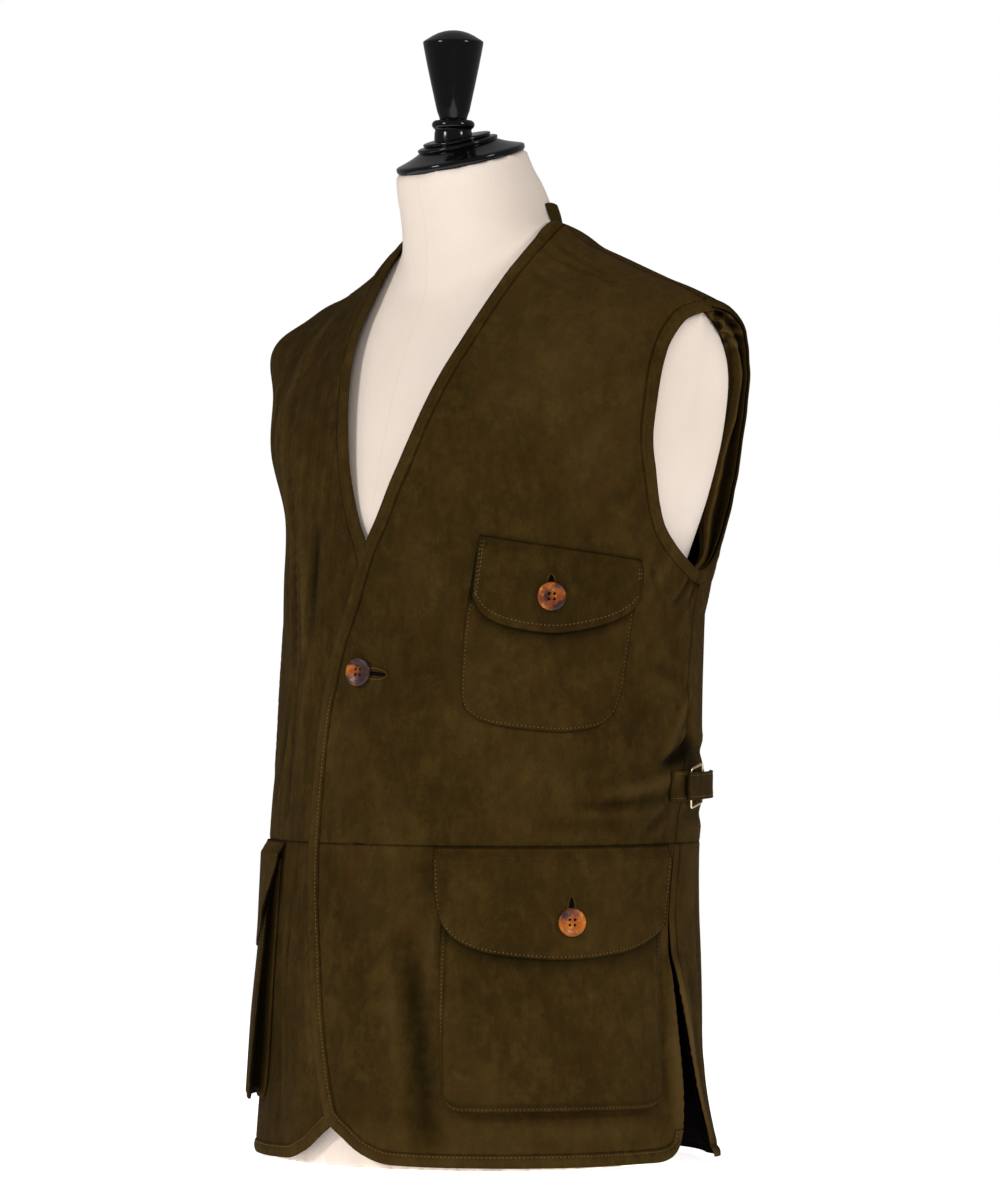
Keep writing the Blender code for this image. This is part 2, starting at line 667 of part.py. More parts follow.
def front_skirt(side):
    high = WAIST - EDGE_GAP
    seam = front_seams[side]
    left = at_rows(seam, front_rows[side][2])
    left[-1, 1] = high
    vent = np.stack([VENT["front"], VENT["height"]], -1).astype(float)
    vent[0] = (vent[0, 0] - SIDE_GAP_DEGREES, high)
    bottom = at_rows(seam, front_rows[side][3])
    bottom[-1, 1] = vent[-1, 1]
    bottom = np.concatenate([bottom, vent[-1:]])
    right = resample(vent[::-1], SKIRT_ROWS)
    grid = fill(bottom, right, resample([left[-1], right[-1]], SKIRT_COLUMNS + 1), left)
    name = "skirt_left" if side > 0 else "skirt_right"
    return leather(name, side, grid, lap(side, grid[..., 0]), suede)


for side in (1, -1):
    front_upper(side)
    front_skirt(side)

# The back: one panel above the waist seam and one below it, both from side seam to side seam
BACK_COLUMNS = 22
SHOULDER_COLUMNS = 8
SKIRT_BACK_COLUMNS = 18


def mirrored(edge):
    """The same edge on the wearer's right, its angles going on round the back."""
    return np.stack([360 - edge[:, 0], edge[:, 1]], -1)


neck_half = smooth_path(np.stack([BACK_NECK["angle"], BACK_NECK["height"]], -1).astype(float))
neck_half[0, 1] = RIDGE_EDGE
neck_rows = stations(neck_half, 0, len(neck_half) - 1, BACK_COLUMNS // 2 - SHOULDER_COLUMNS)


def back_upper():
    left = side_and_arm(SIDE_SEAM + SIDE_GAP_DEGREES, arm_back_rows, WAIST + EDGE_GAP)
    right = mirrored(left)
    shoulder = resample([left[-1], neck_half[0]], SHOULDER_COLUMNS)
    half = np.concatenate([shoulder[:-1], at_rows(neck_half, neck_rows)])
    top = np.concatenate([half, mirrored(half)[::-1][1:]])
    grid = fill(resample([left[0], right[0]], BACK_COLUMNS), right, top, left)
    return leather("back", 1, grid, 0.0, suede)


def back_skirt():
    down = np.stack([VENT_BACK["angle"], VENT_BACK["height"]], -1).astype(float)
    down[0] = (SIDE_SEAM + SIDE_GAP_DEGREES, WAIST - EDGE_GAP)
    left = resample(down[::-1], SKIRT_ROWS)
    right = mirrored(left)
    grid = fill(resample([left[0], right[0]], SKIRT_BACK_COLUMNS), right,
                resample([left[-1], right[-1]], SKIRT_BACK_COLUMNS), left)
    return leather("back_skirt", 1, grid, vent_flare(grid), suede)


back_upper()
back_skirt()

# Black lining inside the back, which shows in the vents and in the armholes
LINING_TOP = 640.0
LINING_HEM = 14.0
LINING_COLUMNS = 14
LINING_ROWS = 13
LINING_EDGE = 1.5


def back_lining():
    low = np.stack([VENT_BACK["angle"], VENT_BACK["height"]], -1).astype(float)[::-1]
    low[0] = (low[0, 0], LINING_HEM)
    arm = at_rows(arm_seam, arm_back_rows)
    high = arm[arm[:, 1] < LINING_TOP]
    end = (np.interp(LINING_TOP, arm[:, 1], arm[:, 0]), LINING_TOP)
    left = np.concatenate([low, high, [end]])
    left[:, 0] += LINING_EDGE
    left = resample(left, LINING_ROWS)
    right = mirrored(left)
    grid = fill(resample([left[0], right[0]], LINING_COLUMNS), right,
                resample([left[-1], right[-1]], LINING_COLUMNS), left)
    return leather("back_lining", 1, grid, LINING_UNDER + vent_flare(grid), lining_cloth, LINING_WALL)


back_lining()

# Bands: one along each neckline, front edge and hem, and a facing round each armhole
BAND_ROWS = 1


def halves(rows):
    """Row numbers with one more midway between each two."""
    return np.interp(np.arange(2 * len(rows) - 1) / 2, np.arange(len(rows)), rows)


def strip(path, rows, width):
    """Grid of a band beside a seam: its inner edge keeps the straight lengths of the panel it meets."""
    fine = halves(rows)
    edge = at_rows(path, fine)
    seam = at_rows(inset(path, width), rows)
    seam[:, 1] = np.minimum(seam[:, 1], RIDGE_EDGE)
    inner = at_rows(seam, np.arange(len(fine)) / 2)
    share = np.linspace(0, 1, BAND_ROWS + 1)[:, None, None]
    return (1 - share) * edge[None] + share * inner[None]


def front_band(side):
    neck, chest, skirt, hem = front_rows[side]
    rows = np.concatenate([neck[::-1], chest[::-1][1:], skirt[::-1][1:], hem[1:]])
    grid = strip(front_paths[side], rows, band_width(front_paths[side]))
    grid[:, 0, 1] = RIDGE_EDGE
    grid[:, -1, 1] = BAND_END
    name = "band_left" if side > 0 else "band_right"
    return leather(name, side, grid, lap(side, grid[..., 0]), suede)


def arm_facing(side):
    rows = np.concatenate([arm_front_rows[::-1], arm_back_rows[1:]])
    grid = strip(arm_path, rows, -ARM_FACING)
    grid[:, [0, -1], 1] = RIDGE_EDGE
    name = "armhole_facing_left" if side > 0 else "armhole_facing_right"
    return leather(name, side, grid[::-1], 0.0, suede)


for side in (1, -1):
    front_band(side)
    arm_facing(side)

# Stand at the back neck, rising from the back neck seam round the form's neck
STAND_HEIGHT = 24.0
STAND_LOWER = 9.0
STAND_LEAN = 3.5
STAND_STEPS = 8
STAND_FROM_SEAM = 2.2


def neck_stand():
    edge = inset(neck_half, STAND_FROM_SEAM)
    edge[-1, 0] = 180.0
    half = resample(edge, STAND_STEPS)
    low = skin(half[:, 0], half[:, 1], WALL / 2)
    share = np.linspace(1, 0, STAND_STEPS + 1)[:, None]
    inward = low * (-1, -1, 0) + (0, NECK["depth"][2], 0)
    inward /= np.linalg.norm(inward, axis=1, keepdims=True)
    high = low + (0, 0, 1) * (STAND_HEIGHT - STAND_LOWER * share) + inward * STAND_LEAN * share
    half_rows = np.stack([low, high], 0)
    other = (half_rows * (-1, 1, 1))[:, ::-1][:, 1:]
    made = make_object("neck_stand", grid_mesh("neck_stand", np.concatenate([half_rows, other], 1)), suede)
    thick = made.modifiers.new("wall", "SOLIDIFY")
    thick.thickness = WALL * MM
    thick.offset = 0.0
    return made


neck_stand()

# Chest pocket on the wearer's left: a patch with an open top under its flap
CHEST_LEFT = ((37.6, 366), (36.2, 384), (36.0, 425), (38.0, 491))
CHEST_FLOOR = ((37.6, 366), (43, 356), (53, 350.5), (63.6, 348), (72, 351), (77.2, 361))
CHEST_RIGHT = ((77.2, 361), (79.4, 384), (80.4, 436), (81.0, 471))
CHEST_FLAP_LEFT = ((38.0, 455), (38.8, 504))
CHEST_FLAP_FLOOR = ((38.0, 455), (41, 441), (48, 431), (59.5, 426), (70, 431), (78, 441), (81.3, 452))
CHEST_FLAP_RIGHT = ((81.3, 452), (81.5, 484))
CHEST_PUFF = 1.5
FLAP_CLEAR = 2.3
POCKET_STEPS = 8


def patch(left, floor, right, across, up):
    """Grid of a piece with straight sides and a curved floor."""
    low = resample(smooth_path(floor), across)
    one = resample(smooth_path(left), up)
    other = resample(smooth_path(right), up)
    return fill(low, other, resample([one[-1], other[-1]], across), one)


def rises(grid):
    """0 at the edges of a grid and 1 in its middle."""
    across = np.sin(np.pi * np.linspace(0, 1, grid.shape[1]))
    up = np.sin(np.pi * np.linspace(0, 1, grid.shape[0]))
    return np.sqrt(np.clip(across[None] * up[:, None], 0, 1))


def below_top(grid):
    """Millimetres of each point below the top edge of its grid."""
    return grid[-1:, :, 1] - grid[..., 1]


chest_grid = patch(CHEST_LEFT, CHEST_FLOOR, CHEST_RIGHT, POCKET_STEPS, POCKET_STEPS)
leather("chest_pocket", 1, chest_grid, ON_PANEL + CHEST_PUFF * rises(chest_grid), suede, TRIM_WALL)
chest_flap_grid = patch(CHEST_FLAP_LEFT, CHEST_FLAP_FLOOR, CHEST_FLAP_RIGHT, POCKET_STEPS, 5)


def chest_flap_out(below):
    return ON_PANEL + (FLAP_CLEAR + CHEST_PUFF) * soft(below, 0, 11)


leather("chest_flap", 1, chest_flap_grid, chest_flap_out(below_top(chest_flap_grid)), suede, TRIM_WALL)

# Bellows pockets on both skirts: a wall that stands off on a folded gusset, under a flap at the waist seam
LOW_LEFT = ((37.6, 62), (36.7, 104), (35.3, 198), (34.3, 243))
LOW_FLOOR = ((37.6, 62), (39, 52), (43, 47), (68.7, 47), (92, 46), (97.5, 50), (99.5, 60))
LOW_RIGHT = ((99.5, 60), (99.0, 120), (98.5, 200), (98.5, 243))
FLAP_LEFT = ((35.3, 198.6), (33.6, 215), (31.8, 255.8))
FLAP_FLOOR = ((35.3, 198.6), (40, 183), (50, 172), (67.9, 167.4), (84, 172), (95, 183), (99.6, 193))
FLAP_RIGHT = ((99.6, 193), (100.3, 225), (100.5, 255.8))
STAND_TOP = 4.5
STAND_MORE = 6.0
FLAP_OVER = 2.3
GUSSET_WALL = 1.2
GUSSET_FOLD = 5.0
GUSSET_IN = 1.5
GUSSET_CLEAR = 0.8
GUSSET_FOOT = 0.9
GUSSET_SIDE_STEPS = 7
GUSSET_FLOOR_STEPS = 12


def pocket_stand(height):
    """How far inside the pocket wall is from the vest: it opens out towards its floor."""
    return STAND_TOP + STAND_MORE * soft(height, 240, 60)


def flap_out(below, height):
    return ON_PANEL + (STAND_TOP + FLAP_OVER - ON_PANEL) * soft(below, 0, 11) + pocket_stand(height) - STAND_TOP


def gusset(side, name):
    down = resample(smooth_path(LOW_LEFT)[::-1], GUSSET_SIDE_STEPS)
    along_floor = resample(smooth_path(LOW_FLOOR), GUSSET_FLOOR_STEPS)
    rise = resample(smooth_path(LOW_RIGHT), GUSSET_SIDE_STEPS)
    edge = np.concatenate([down[:-1], along_floor[:-1], rise])
    rows = np.stack([inset(edge, GUSSET_IN), inset(edge, GUSSET_IN + GUSSET_FOLD), inset(edge, GUSSET_IN)], 0)
    top = pocket_stand(rows[2, :, 1]) - GUSSET_CLEAR
    base = np.full_like(top, ON_PANEL + GUSSET_FOOT)
    out = np.stack([base, (base + top) / 2, top], 0)
    made = leather(name, side, rows, out, suede, GUSSET_WALL)
    made.modifiers["wall"].offset = 0.0
    return made


for side, word in ((1, "left"), (-1, "right")):
    low_grid = patch(LOW_LEFT, LOW_FLOOR, LOW_RIGHT, 11, POCKET_STEPS)
    leather("low_pocket_" + word, side, low_grid, pocket_stand(low_grid[..., 1]), suede, TRIM_WALL)
    gusset(side, "low_gusset_" + word)
    flap_grid = patch(FLAP_LEFT, FLAP_FLOOR, FLAP_RIGHT, 11, 6)
    leather("low_flap_" + word, side, flap_grid, flap_out(below_top(flap_grid), flap_grid[..., 1]),
            suede, TRIM_WALL)

# Four-hole buttons: dished, with a raised rim
BUTTON_RADIUS = 10.6
BUTTON_THICK = 3.4
BUTTON_PROFILE = ((0, 2.5), (6.4, 2.5), (8.0, 3.4), (9.6, 3.2), (10.6, 2.0), (10.2, 0.6), (8.6, 0), (0, 0))
HOLE_RADIUS = 1.1
HOLE_SPACING = 1.9
BUTTON_SEGMENTS = 20
BUTTON_GAP = 0.65
BUTTONS = {
    "name":   ("button_front", "button_chest", "button_left", "button_right"),
    "side":   (1, 1, 1, -1),
    "angle":  (1.8, 58.1, 69.5, 69.5),
    "height": (394, 455.3, 197.5, 197.5),
    "under":  (LAP_LIFT + WALL,
               ON_PANEL + FLAP_CLEAR + CHEST_PUFF + TRIM_WALL,
               flap_out(58.0, 197.5) + TRIM_WALL,
               flap_out(58.0, 197.5) + TRIM_WALL),
}
for row, name in enumerate(BUTTONS["name"]):
    place = facing(BUTTONS["side"][row] * BUTTONS["angle"][row], BUTTONS["height"][row],
                   BUTTONS["under"][row] + BUTTON_GAP)
    button = turned(name, BUTTON_PROFILE, horn, BUTTON_SEGMENTS, place)
    holes = bmesh.new()
    for right in (-HOLE_SPACING, HOLE_SPACING):
        for up in (-HOLE_SPACING, HOLE_SPACING):
            drill = Matrix.Translation(Vector((right, up, BUTTON_THICK / 2)) * MM)
            bmesh.ops.create_cone(holes, cap_ends=True, segments=8, radius1=HOLE_RADIUS * MM,
                                  radius2=HOLE_RADIUS * MM, depth=3 * BUTTON_THICK * MM, matrix=drill)
    hole_mesh = bpy.data.meshes.new(name + "_holes")
    holes.to_mesh(hole_mesh)
    holes.free()
    drill_bit = add_cutter(name + "_holes", hole_mesh)
    drill_bit.matrix_world = place
    cut(button, drill_bit)

# Side straps at the waist: a tab on the front, a wire slide buckle, the strap from the back and its folded end
STRAP_LOW = 291.0
STRAP_HIGH = 315.0
TAB_ANGLES = (98.5, 108.9)
STRAP_ANGLES = (109.6, 128.0)
END_ANGLES = (107.6, 129.0)
BUCKLE_ANGLE = 110.6
BUCKLE_HALF_WIDE = 2.5
BUCKLE_HALF_TALL = 14.5
WIRE_RADIUS = 1.0
BUCKLE_OUT = ON_PANEL + TRIM_WALL + 0.5 + WIRE_RADIUS
END_OUT = BUCKLE_OUT + WIRE_RADIUS + 0.5
END_LIFT = 4.0
STRAP_STEPS = 5


def strap_grid(angles, narrower=0.0):
    across = np.linspace(angles[0], angles[1], STRAP_STEPS + 1)
    up = np.array([STRAP_LOW + narrower, STRAP_HIGH - narrower])
    return np.stack(np.meshgrid(across, up), -1)


def buckle(side, name):
    """A wire bent to a rectangle with small round corners."""
    corner = 0.7
    turns = []
    for start, right, up in ((180, -1, -1), (270, 1, -1), (0, 1, 1), (90, -1, 1)):
        for step in (0, 45, 90):
            turn = math.radians(start + step)
            turns.append((BUCKLE_ANGLE + right * (BUCKLE_HALF_WIDE - corner) + corner * math.cos(turn),
                          (STRAP_LOW + STRAP_HIGH) / 2 + up * (BUCKLE_HALF_TALL - 3 * corner)
                          + 3 * corner * math.sin(turn)))
    bent = bpy.data.curves.new(name, "CURVE")
    bent.dimensions = "3D"
    bent.bevel_depth = WIRE_RADIUS * MM
    bent.bevel_resolution = 1
    run = bent.splines.new("POLY")
    run.points.add(len(turns) - 1)
    for point, (angle, height) in zip(run.points, turns):
        point.co = (*(skin(side * angle, height, BUCKLE_OUT) * MM), 1)
    run.use_cyclic_u = True
    return make_object(name, bent, wire)


for side, word in ((1, "left"), (-1, "right")):
    leather("side_tab_" + word, side, strap_grid(TAB_ANGLES), ON_PANEL, suede, TRIM_WALL)
    leather("strap_" + word, side, strap_grid(STRAP_ANGLES), ON_PANEL, suede, TRIM_WALL)
    buckle(side, "buckle_" + word)
    end = strap_grid(END_ANGLES, 1.0)
    leather("strap_end_" + word, side, end, END_OUT + END_LIFT * soft(end[..., 0], 114, 129),
            suede, TRIM_WALL)
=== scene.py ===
"""Looks of the leather vest on its dress form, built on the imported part.

Tables are in millimetres and degrees. An angle is measured round the body from the centre front towards
the wearer's left. A height is in millimetres up to the yoke, and above it runs over the shoulder to the
ridge, where front and back meet.
"""

import math

import bmesh
import bpy
import numpy as np
from mathutils import Matrix, Vector


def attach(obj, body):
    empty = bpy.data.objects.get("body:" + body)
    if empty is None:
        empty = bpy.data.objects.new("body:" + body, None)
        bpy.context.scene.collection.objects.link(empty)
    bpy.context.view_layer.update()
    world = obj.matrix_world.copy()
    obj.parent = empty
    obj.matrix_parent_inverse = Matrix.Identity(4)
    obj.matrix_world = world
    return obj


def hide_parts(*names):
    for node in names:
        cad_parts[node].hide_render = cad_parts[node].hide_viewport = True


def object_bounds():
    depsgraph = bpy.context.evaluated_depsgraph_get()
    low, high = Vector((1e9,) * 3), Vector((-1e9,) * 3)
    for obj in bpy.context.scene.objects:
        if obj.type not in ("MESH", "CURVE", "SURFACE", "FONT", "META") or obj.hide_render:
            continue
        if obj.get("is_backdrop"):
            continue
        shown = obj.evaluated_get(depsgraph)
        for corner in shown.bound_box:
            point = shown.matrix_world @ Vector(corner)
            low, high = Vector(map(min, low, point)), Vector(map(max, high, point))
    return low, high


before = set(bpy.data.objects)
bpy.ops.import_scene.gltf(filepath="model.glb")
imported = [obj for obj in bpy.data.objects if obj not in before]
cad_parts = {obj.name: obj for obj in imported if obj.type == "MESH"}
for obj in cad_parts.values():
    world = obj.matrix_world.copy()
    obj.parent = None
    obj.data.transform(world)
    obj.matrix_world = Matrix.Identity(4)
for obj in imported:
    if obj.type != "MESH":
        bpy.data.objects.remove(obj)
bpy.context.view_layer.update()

# Dress form: a hollow torso of pressed paper pulp, padded and covered with tight cream cotton canvas that
# is seamed down the centre front and turned under at the bottom. It has no arms and a short neck.
MM = 0.001
YOKE = 560.0
RIDGE_TOP = 780.0
FORM_SECTIONS = {
    "height": (0, 60, 150, 258, 340, 430, 510, 560),
    "half":   (163, 165, 162, 149, 152, 164, 180, 189),
    "front":  (-133, -132, -124, -108, -100, -100, -100, -90),
    "back":   (148, 150, 144, 120, 122, 132, 138, 136),
    "middle": (6, 8, 12, 20, 28, 38, 46, 50),
    "front_square": (2.1, 2.1, 2.1, 2.1, 2.1, 2.1, 2.2, 2.3),
    "back_square":  (2.4, 2.4, 2.4, 2.4, 2.4, 2.4, 2.6, 2.7),
}
RIDGE = {
    "out":   (0, 60, 75, 85, 95, 115, 145, 165, 190, 215, 232),
    "depth": (40, 43.8, 45, 46, 47, 49, 52, 54, 57, 63, 70),
    "left":  (763, 757, 752, 745, 739, 730.5, 718, 710.5, 702, 688, 666),
    "right": (763, 757, 750, 740, 731.5, 720.5, 708, 701.5, 695, 682, 661),
}
FORM_SHOULDER = 214.0
FORM_DROP = {
    "out":  (0, 85, 110, 150, 214, 232),
    "drop": (-3.0, -1.8, -1.1, -0.7, -4.0, -5.0),
}
ARCH_PULL = (0.45, 0.50)
NECK = {
    "height": (676, 716, 745, 775, 793, 806.5),
    "depth":  (30, 29, 26.5, 18, 7.5, 3.8),
    "radius": (68, 65.5, 63.5, 60.5, 56, 53),
    "tilt":   (0, 0, 1, 6, 11, 13),
    "aside":  (0, 0, 0.5, 1.5, 3, 3.5),
}
FORM_FLARE = {
    "height": (440, 500, 540, 590, 640, 680, 720, 750, 780),
    "out":    (0, 8, 17, 26, 31, 26, 13, 3, 0),
}
ARM_FLARE_BEHIND = (158, 122)
ARM_FLARE_BEFORE = (96, 114)
NAPE_RISE = 20.0
NAPE_ACROSS = 22.0
NAPE_HEIGHT = 705.0
NAPE_ALONG = 38.0
FORM_COLUMNS = 128
FORM_ROWS = 100
SHOULDER_START = 640
SHOULDER_ROWS = 56
NECK_ROWS = 40
FORM_GRAIN = 4.4
MERGE = 0.02
SEWN_LINE = 1.2
EASING = {
    "rounds": (2, 9),
    "low":    (0.0, 0.70),
    "high":   (0.79, 0.7893),
}


def along(table, column, at):
    """Smooth value of a table column at heights or positions, with no overshoot."""
    first = next(iter(table))
    xs = np.array(table[first], float)
    ys = np.array(table[column], float)
    if xs[0] > xs[-1]:
        xs = xs[::-1]
        ys = ys[::-1]
    step = np.diff(xs)
    rate = np.diff(ys) / step
    slope = np.zeros_like(ys)
    slope[0] = rate[0]
    slope[-1] = rate[-1]
    for k in range(1, len(ys) - 1):
        if rate[k - 1] * rate[k] > 0:
            near = 2 * step[k] + step[k - 1]
            far = step[k] + 2 * step[k - 1]
            slope[k] = (near + far) / (near / rate[k - 1] + far / rate[k])
    at = np.clip(at, xs[0], xs[-1])
    i = np.clip(np.searchsorted(xs, at) - 1, 0, len(step) - 1)
    t = (at - xs[i]) / step[i]
    return ((1 + 2 * t) * (1 - t) ** 2 * ys[i] + t * (1 - t) ** 2 * step[i] * slope[i]
            + t * t * (3 - 2 * t) * ys[i + 1] + t * t * (t - 1) * step[i] * slope[i + 1])


def soft(value, start, end):
    """0 at start, 1 at end, with a soft curve between."""
    t = np.clip((np.asarray(value, float) - start) / (end - start), 0, 1)
    return t * t * (3 - 2 * t)


def bell(value, width):
    """1 where a value is 0, falling off softly on both sides."""
    return np.exp(-(value / width) ** 2)


def from_front(angle):
    """Degrees from the centre front, on either side."""
    turned_on = np.mod(angle, 360.0)
    return np.minimum(turned_on, 360 - turned_on)


def section(body, angle, height):
    """Point of one level section, as the ray at this angle meets it."""
    sine, cosine = np.sin(np.radians(angle)), np.cos(np.radians(angle))
    ahead = cosine > 0
    half, front, back, middle = (along(body, column, height)
                                 for column in ("half", "front", "back", "middle"))
    deep = np.where(ahead, middle - front, back - middle)
    square = np.where(ahead, along(body, "front_square", height), along(body, "back_square", height))
    reach = ((np.abs(sine) / half) ** square + (np.abs(cosine) / deep) ** square) ** (-1 / square)
    return np.stack([reach * sine, middle - reach * cosine, height + 0 * reach], -1)


def body_point(body, shoulder, drop, angle, height):
    """Point of the form or the vest: level sections up to the yoke, then arches to the shoulder ridge."""
    angle, height = np.broadcast_arrays(np.asarray(angle, float), np.asarray(height, float))
    low = section(body, angle, np.minimum(height, YOKE))
    start = section(body, angle, np.full_like(height, YOKE))
    lean = (start - section(body, angle, np.full_like(height, YOKE - 2))) / 2
    out = start[..., 0] * shoulder / body["half"][-1]
    aside = np.abs(out)
    top = np.where(out < 0, along(RIDGE, "right", aside), along(RIDGE, "left", aside))
    ridge = np.stack([out, along(RIDGE, "depth", aside), top + along(drop, "drop", aside)], -1)
    pull = np.where(np.cos(np.radians(angle)) > 0, *ARCH_PULL)
    after = start + lean * (ridge[..., 2:] - YOKE) * pull[..., None]
    before = ridge.copy()
    before[..., 1] += (start[..., 1] - ridge[..., 1]) * pull
    t = np.clip((height - YOKE) / (RIDGE_TOP - YOKE), 0, 1)[..., None]
    arch = ((1 - t) ** 3 * start + 3 * t * (1 - t) ** 2 * after
            + 3 * t * t * (1 - t) * before + t ** 3 * ridge)
    gap = np.mod(angle, 360.0) - 180
    arch[..., 2] += NAPE_RISE * bell(gap, NAPE_ACROSS) * bell(height - NAPE_HEIGHT, NAPE_ALONG)
    return np.where((height > YOKE)[..., None], arch, low)


def arm_flare(flare, angle, height):
    """How far form or vest stands away level behind the armholes."""
    aside = from_front(angle)
    away = along(flare, "out", height) * soft(aside, *ARM_FLARE_BEHIND) * soft(aside, *ARM_FLARE_BEFORE)
    turn = np.radians(angle)
    return away[..., None] * np.stack([np.sin(turn), -np.cos(turn), 0 * turn], -1)


def ridge_angles(body, count):
    """Angles whose arches meet the ridge in matching pairs from the front and from the back."""
    fine = np.linspace(0, 90, 721)
    behind = section(body, 180 - fine, np.full_like(fine, YOKE))[:, 0]
    quarter = np.linspace(0, 90, count + 1)
    reach = section(body, quarter, np.full_like(quarter, YOKE))[:, 0]
    back = 180 - np.interp(reach, behind, fine)
    half = np.concatenate([quarter, back[::-1][1:]])
    return np.concatenate([half, 360 - half[::-1][1:]])


def linear(code):
    """Linear colour of an sRGB hex code."""
    parts = [int(code[k:k + 2], 16) / 255 for k in (0, 2, 4)]
    return (*[c / 12.92 if c <= 0.04045 else ((c + 0.055) / 1.055) ** 2.4 for c in parts], 1.0)


def put(tree, made, values):
    """Fills a node in: a value is a socket to link, a number or hex colour for an input, or a setting."""
    for name, value in values.items():
        if isinstance(value, bpy.types.NodeSocket):
            tree.links.new(value, made.inputs[name])
        elif isinstance(name, int) or name in made.inputs:
            made.inputs[name].default_value = linear(value) if isinstance(value, str) else value
        else:
            setattr(made, name, value)


def added(tree, kind, values, out=0):
    """Output of a new node of a material, filled in."""
    made = tree.nodes.new("ShaderNode" + kind)
    put(tree, made, values)
    return made.outputs[out]


def new_look(name, settings):
    """A material with its shader filled in; returns it, its tree and its shader."""
    made = bpy.data.materials.new(name)
    made.use_nodes = True
    shader = made.node_tree.nodes["Principled BSDF"]
    put(made.node_tree, shader, settings)
    return made, made.node_tree, shader


def tinted(tree, tone, layers):
    """A colour with others laid over it: each layer has a share, a strength that weakens it, and its colour."""
    for share, strength, other in layers:
        if strength < 1:
            share = added(tree, "Math", {"operation": "MULTIPLY", 0: share, 1: strength})
        tone = added(tree, "MixRGB", {"Fac": share, "Color1": tone, "Color2": other})
    return tone


def speckle(tree, place, scale, detail=3.0, roughness=0.5, tall=1, low=0.3, high=0.7):
    """Noise of 0 to 1 on the object's own place: bumps a metre, and their number upwards against across."""
    shrunk = added(tree, "Mapping", {"Scale": (1, 1, tall), "Vector": place})
    noise = added(tree, "TexNoise", {"Scale": scale, "Detail": detail, "Roughness": roughness,
                                     "Vector": shrunk})
    return added(tree, "MapRange", {"Value": noise, "From Min": low, "From Max": high})


def relief(tree, shader, heights):
    """Bumps on the shader's normal from pairs of a height socket and its depth in millimetres."""
    below = {}
    for height, depth in heights:
        bump = {"Distance": depth * MM, "Strength": 1.0, "Height": height}
        below = {"Normal": added(tree, "Bump", {**bump, **below})}
    put(tree, shader, below)


def canvas_look():
    """Cream cotton canvas, plain weave: chalky and even, with faint slubs and a sewn line at the front."""
    look, tree, shader = new_look("cream_cotton_canvas", {"Roughness": 0.92, "Specular IOR Level": 0.12,
                                                         "Sheen Weight": 0.04, "Sheen Roughness": 0.5})
    place = added(tree, "TexCoord", {}, "Object")
    aside, ahead = (added(tree, "SeparateXYZ", {"Vector": place}, axis) for axis in ("X", "Y"))
    aside = added(tree, "Math", {"operation": "ABSOLUTE", 0: aside})
    ahead = added(tree, "Math", {"operation": "LESS_THAN", 0: ahead, 1: 0.0})
    seam = added(tree, "MapRange", {"Value": aside, "From Max": SEWN_LINE * MM, "To Min": 1.0, "To Max": 0.0})
    seam = added(tree, "Math", {"operation": "MULTIPLY", 0: seam, 1: ahead})
    tone = tinted(tree, "EBDDD0", [(speckle(tree, place, 14, 2), 1.0, "E6D6C8"),
                                   (speckle(tree, place, 260, 2, tall=5), 0.10, "DCC9B8"),
                                   (seam, 0.07, "A08C78")])
    put(tree, shader, {"Base Color": tone})
    flat = added(tree, "Math", {"operation": "SUBTRACT", 0: 1.0, 1: seam})
    relief(tree, shader, [(speckle(tree, place, 900, 2, 0.6), 0.10), (flat, 0.15)])
    return look


def bent(points, painted_light_and_wear=None):
    """A sheet of quads through a grid of points in millimetres, with a value at each point: painted shade above
    0, painted highlight and rubbing below 0.
    """
    rows, columns = points.shape[:2]
    sheet = bmesh.new()
    shade = sheet.verts.layers.float.new("painted_light_and_wear")
    bmesh.ops.create_grid(sheet, x_segments=columns - 1, y_segments=rows - 1, size=1.0)
    for vertex in sheet.verts:
        column = round((vertex.co.x + 1) / 2 * (columns - 1))
        row = round((vertex.co.y + 1) / 2 * (rows - 1))
        vertex.co = Vector(points[row, column]) * MM
        vertex[shade] = 0.0 if painted_light_and_wear is None else float(painted_light_and_wear[row, column])
    return sheet


def ring_grid(rings):
    """A tube of quads through rings of points in millimetres, its seam and its matching points merged."""
    tube = bent(rings)
    bmesh.ops.remove_doubles(tube, verts=tube.verts, dist=MERGE * MM)
    bmesh.ops.holes_fill(tube, edges=[edge for edge in tube.edges if edge.is_boundary], sides=0)
    bmesh.ops.recalc_face_normals(tube, faces=tube.faces)
    return tube


def shown(name, data):
    """A new object of the scene with this mesh, curve, lamp or camera."""
    made = bpy.data.objects.new(name, data)
    bpy.context.scene.collection.objects.link(made)
    return made


def keep(shape, name, look):
    """The finished bmesh as an object of the scene."""
    mesh = bpy.data.meshes.new(name)
    shape.to_mesh(mesh)
    shape.free()
    mesh.shade_smooth()
    mesh.materials.append(look)
    return shown(name, mesh)


def belong(made, slot, *nodes):
    """Lets a piece move with the part and stand for these nodes of it."""
    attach(made, "root")
    if nodes:
        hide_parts(*nodes)


def settled(made):
    """The object's mesh with its modifiers worked in."""
    graph = bpy.context.evaluated_depsgraph_get()
    mesh = bpy.data.meshes.new_from_object(made.evaluated_get(graph))
    made.modifiers.clear()
    made.data = mesh
    return mesh


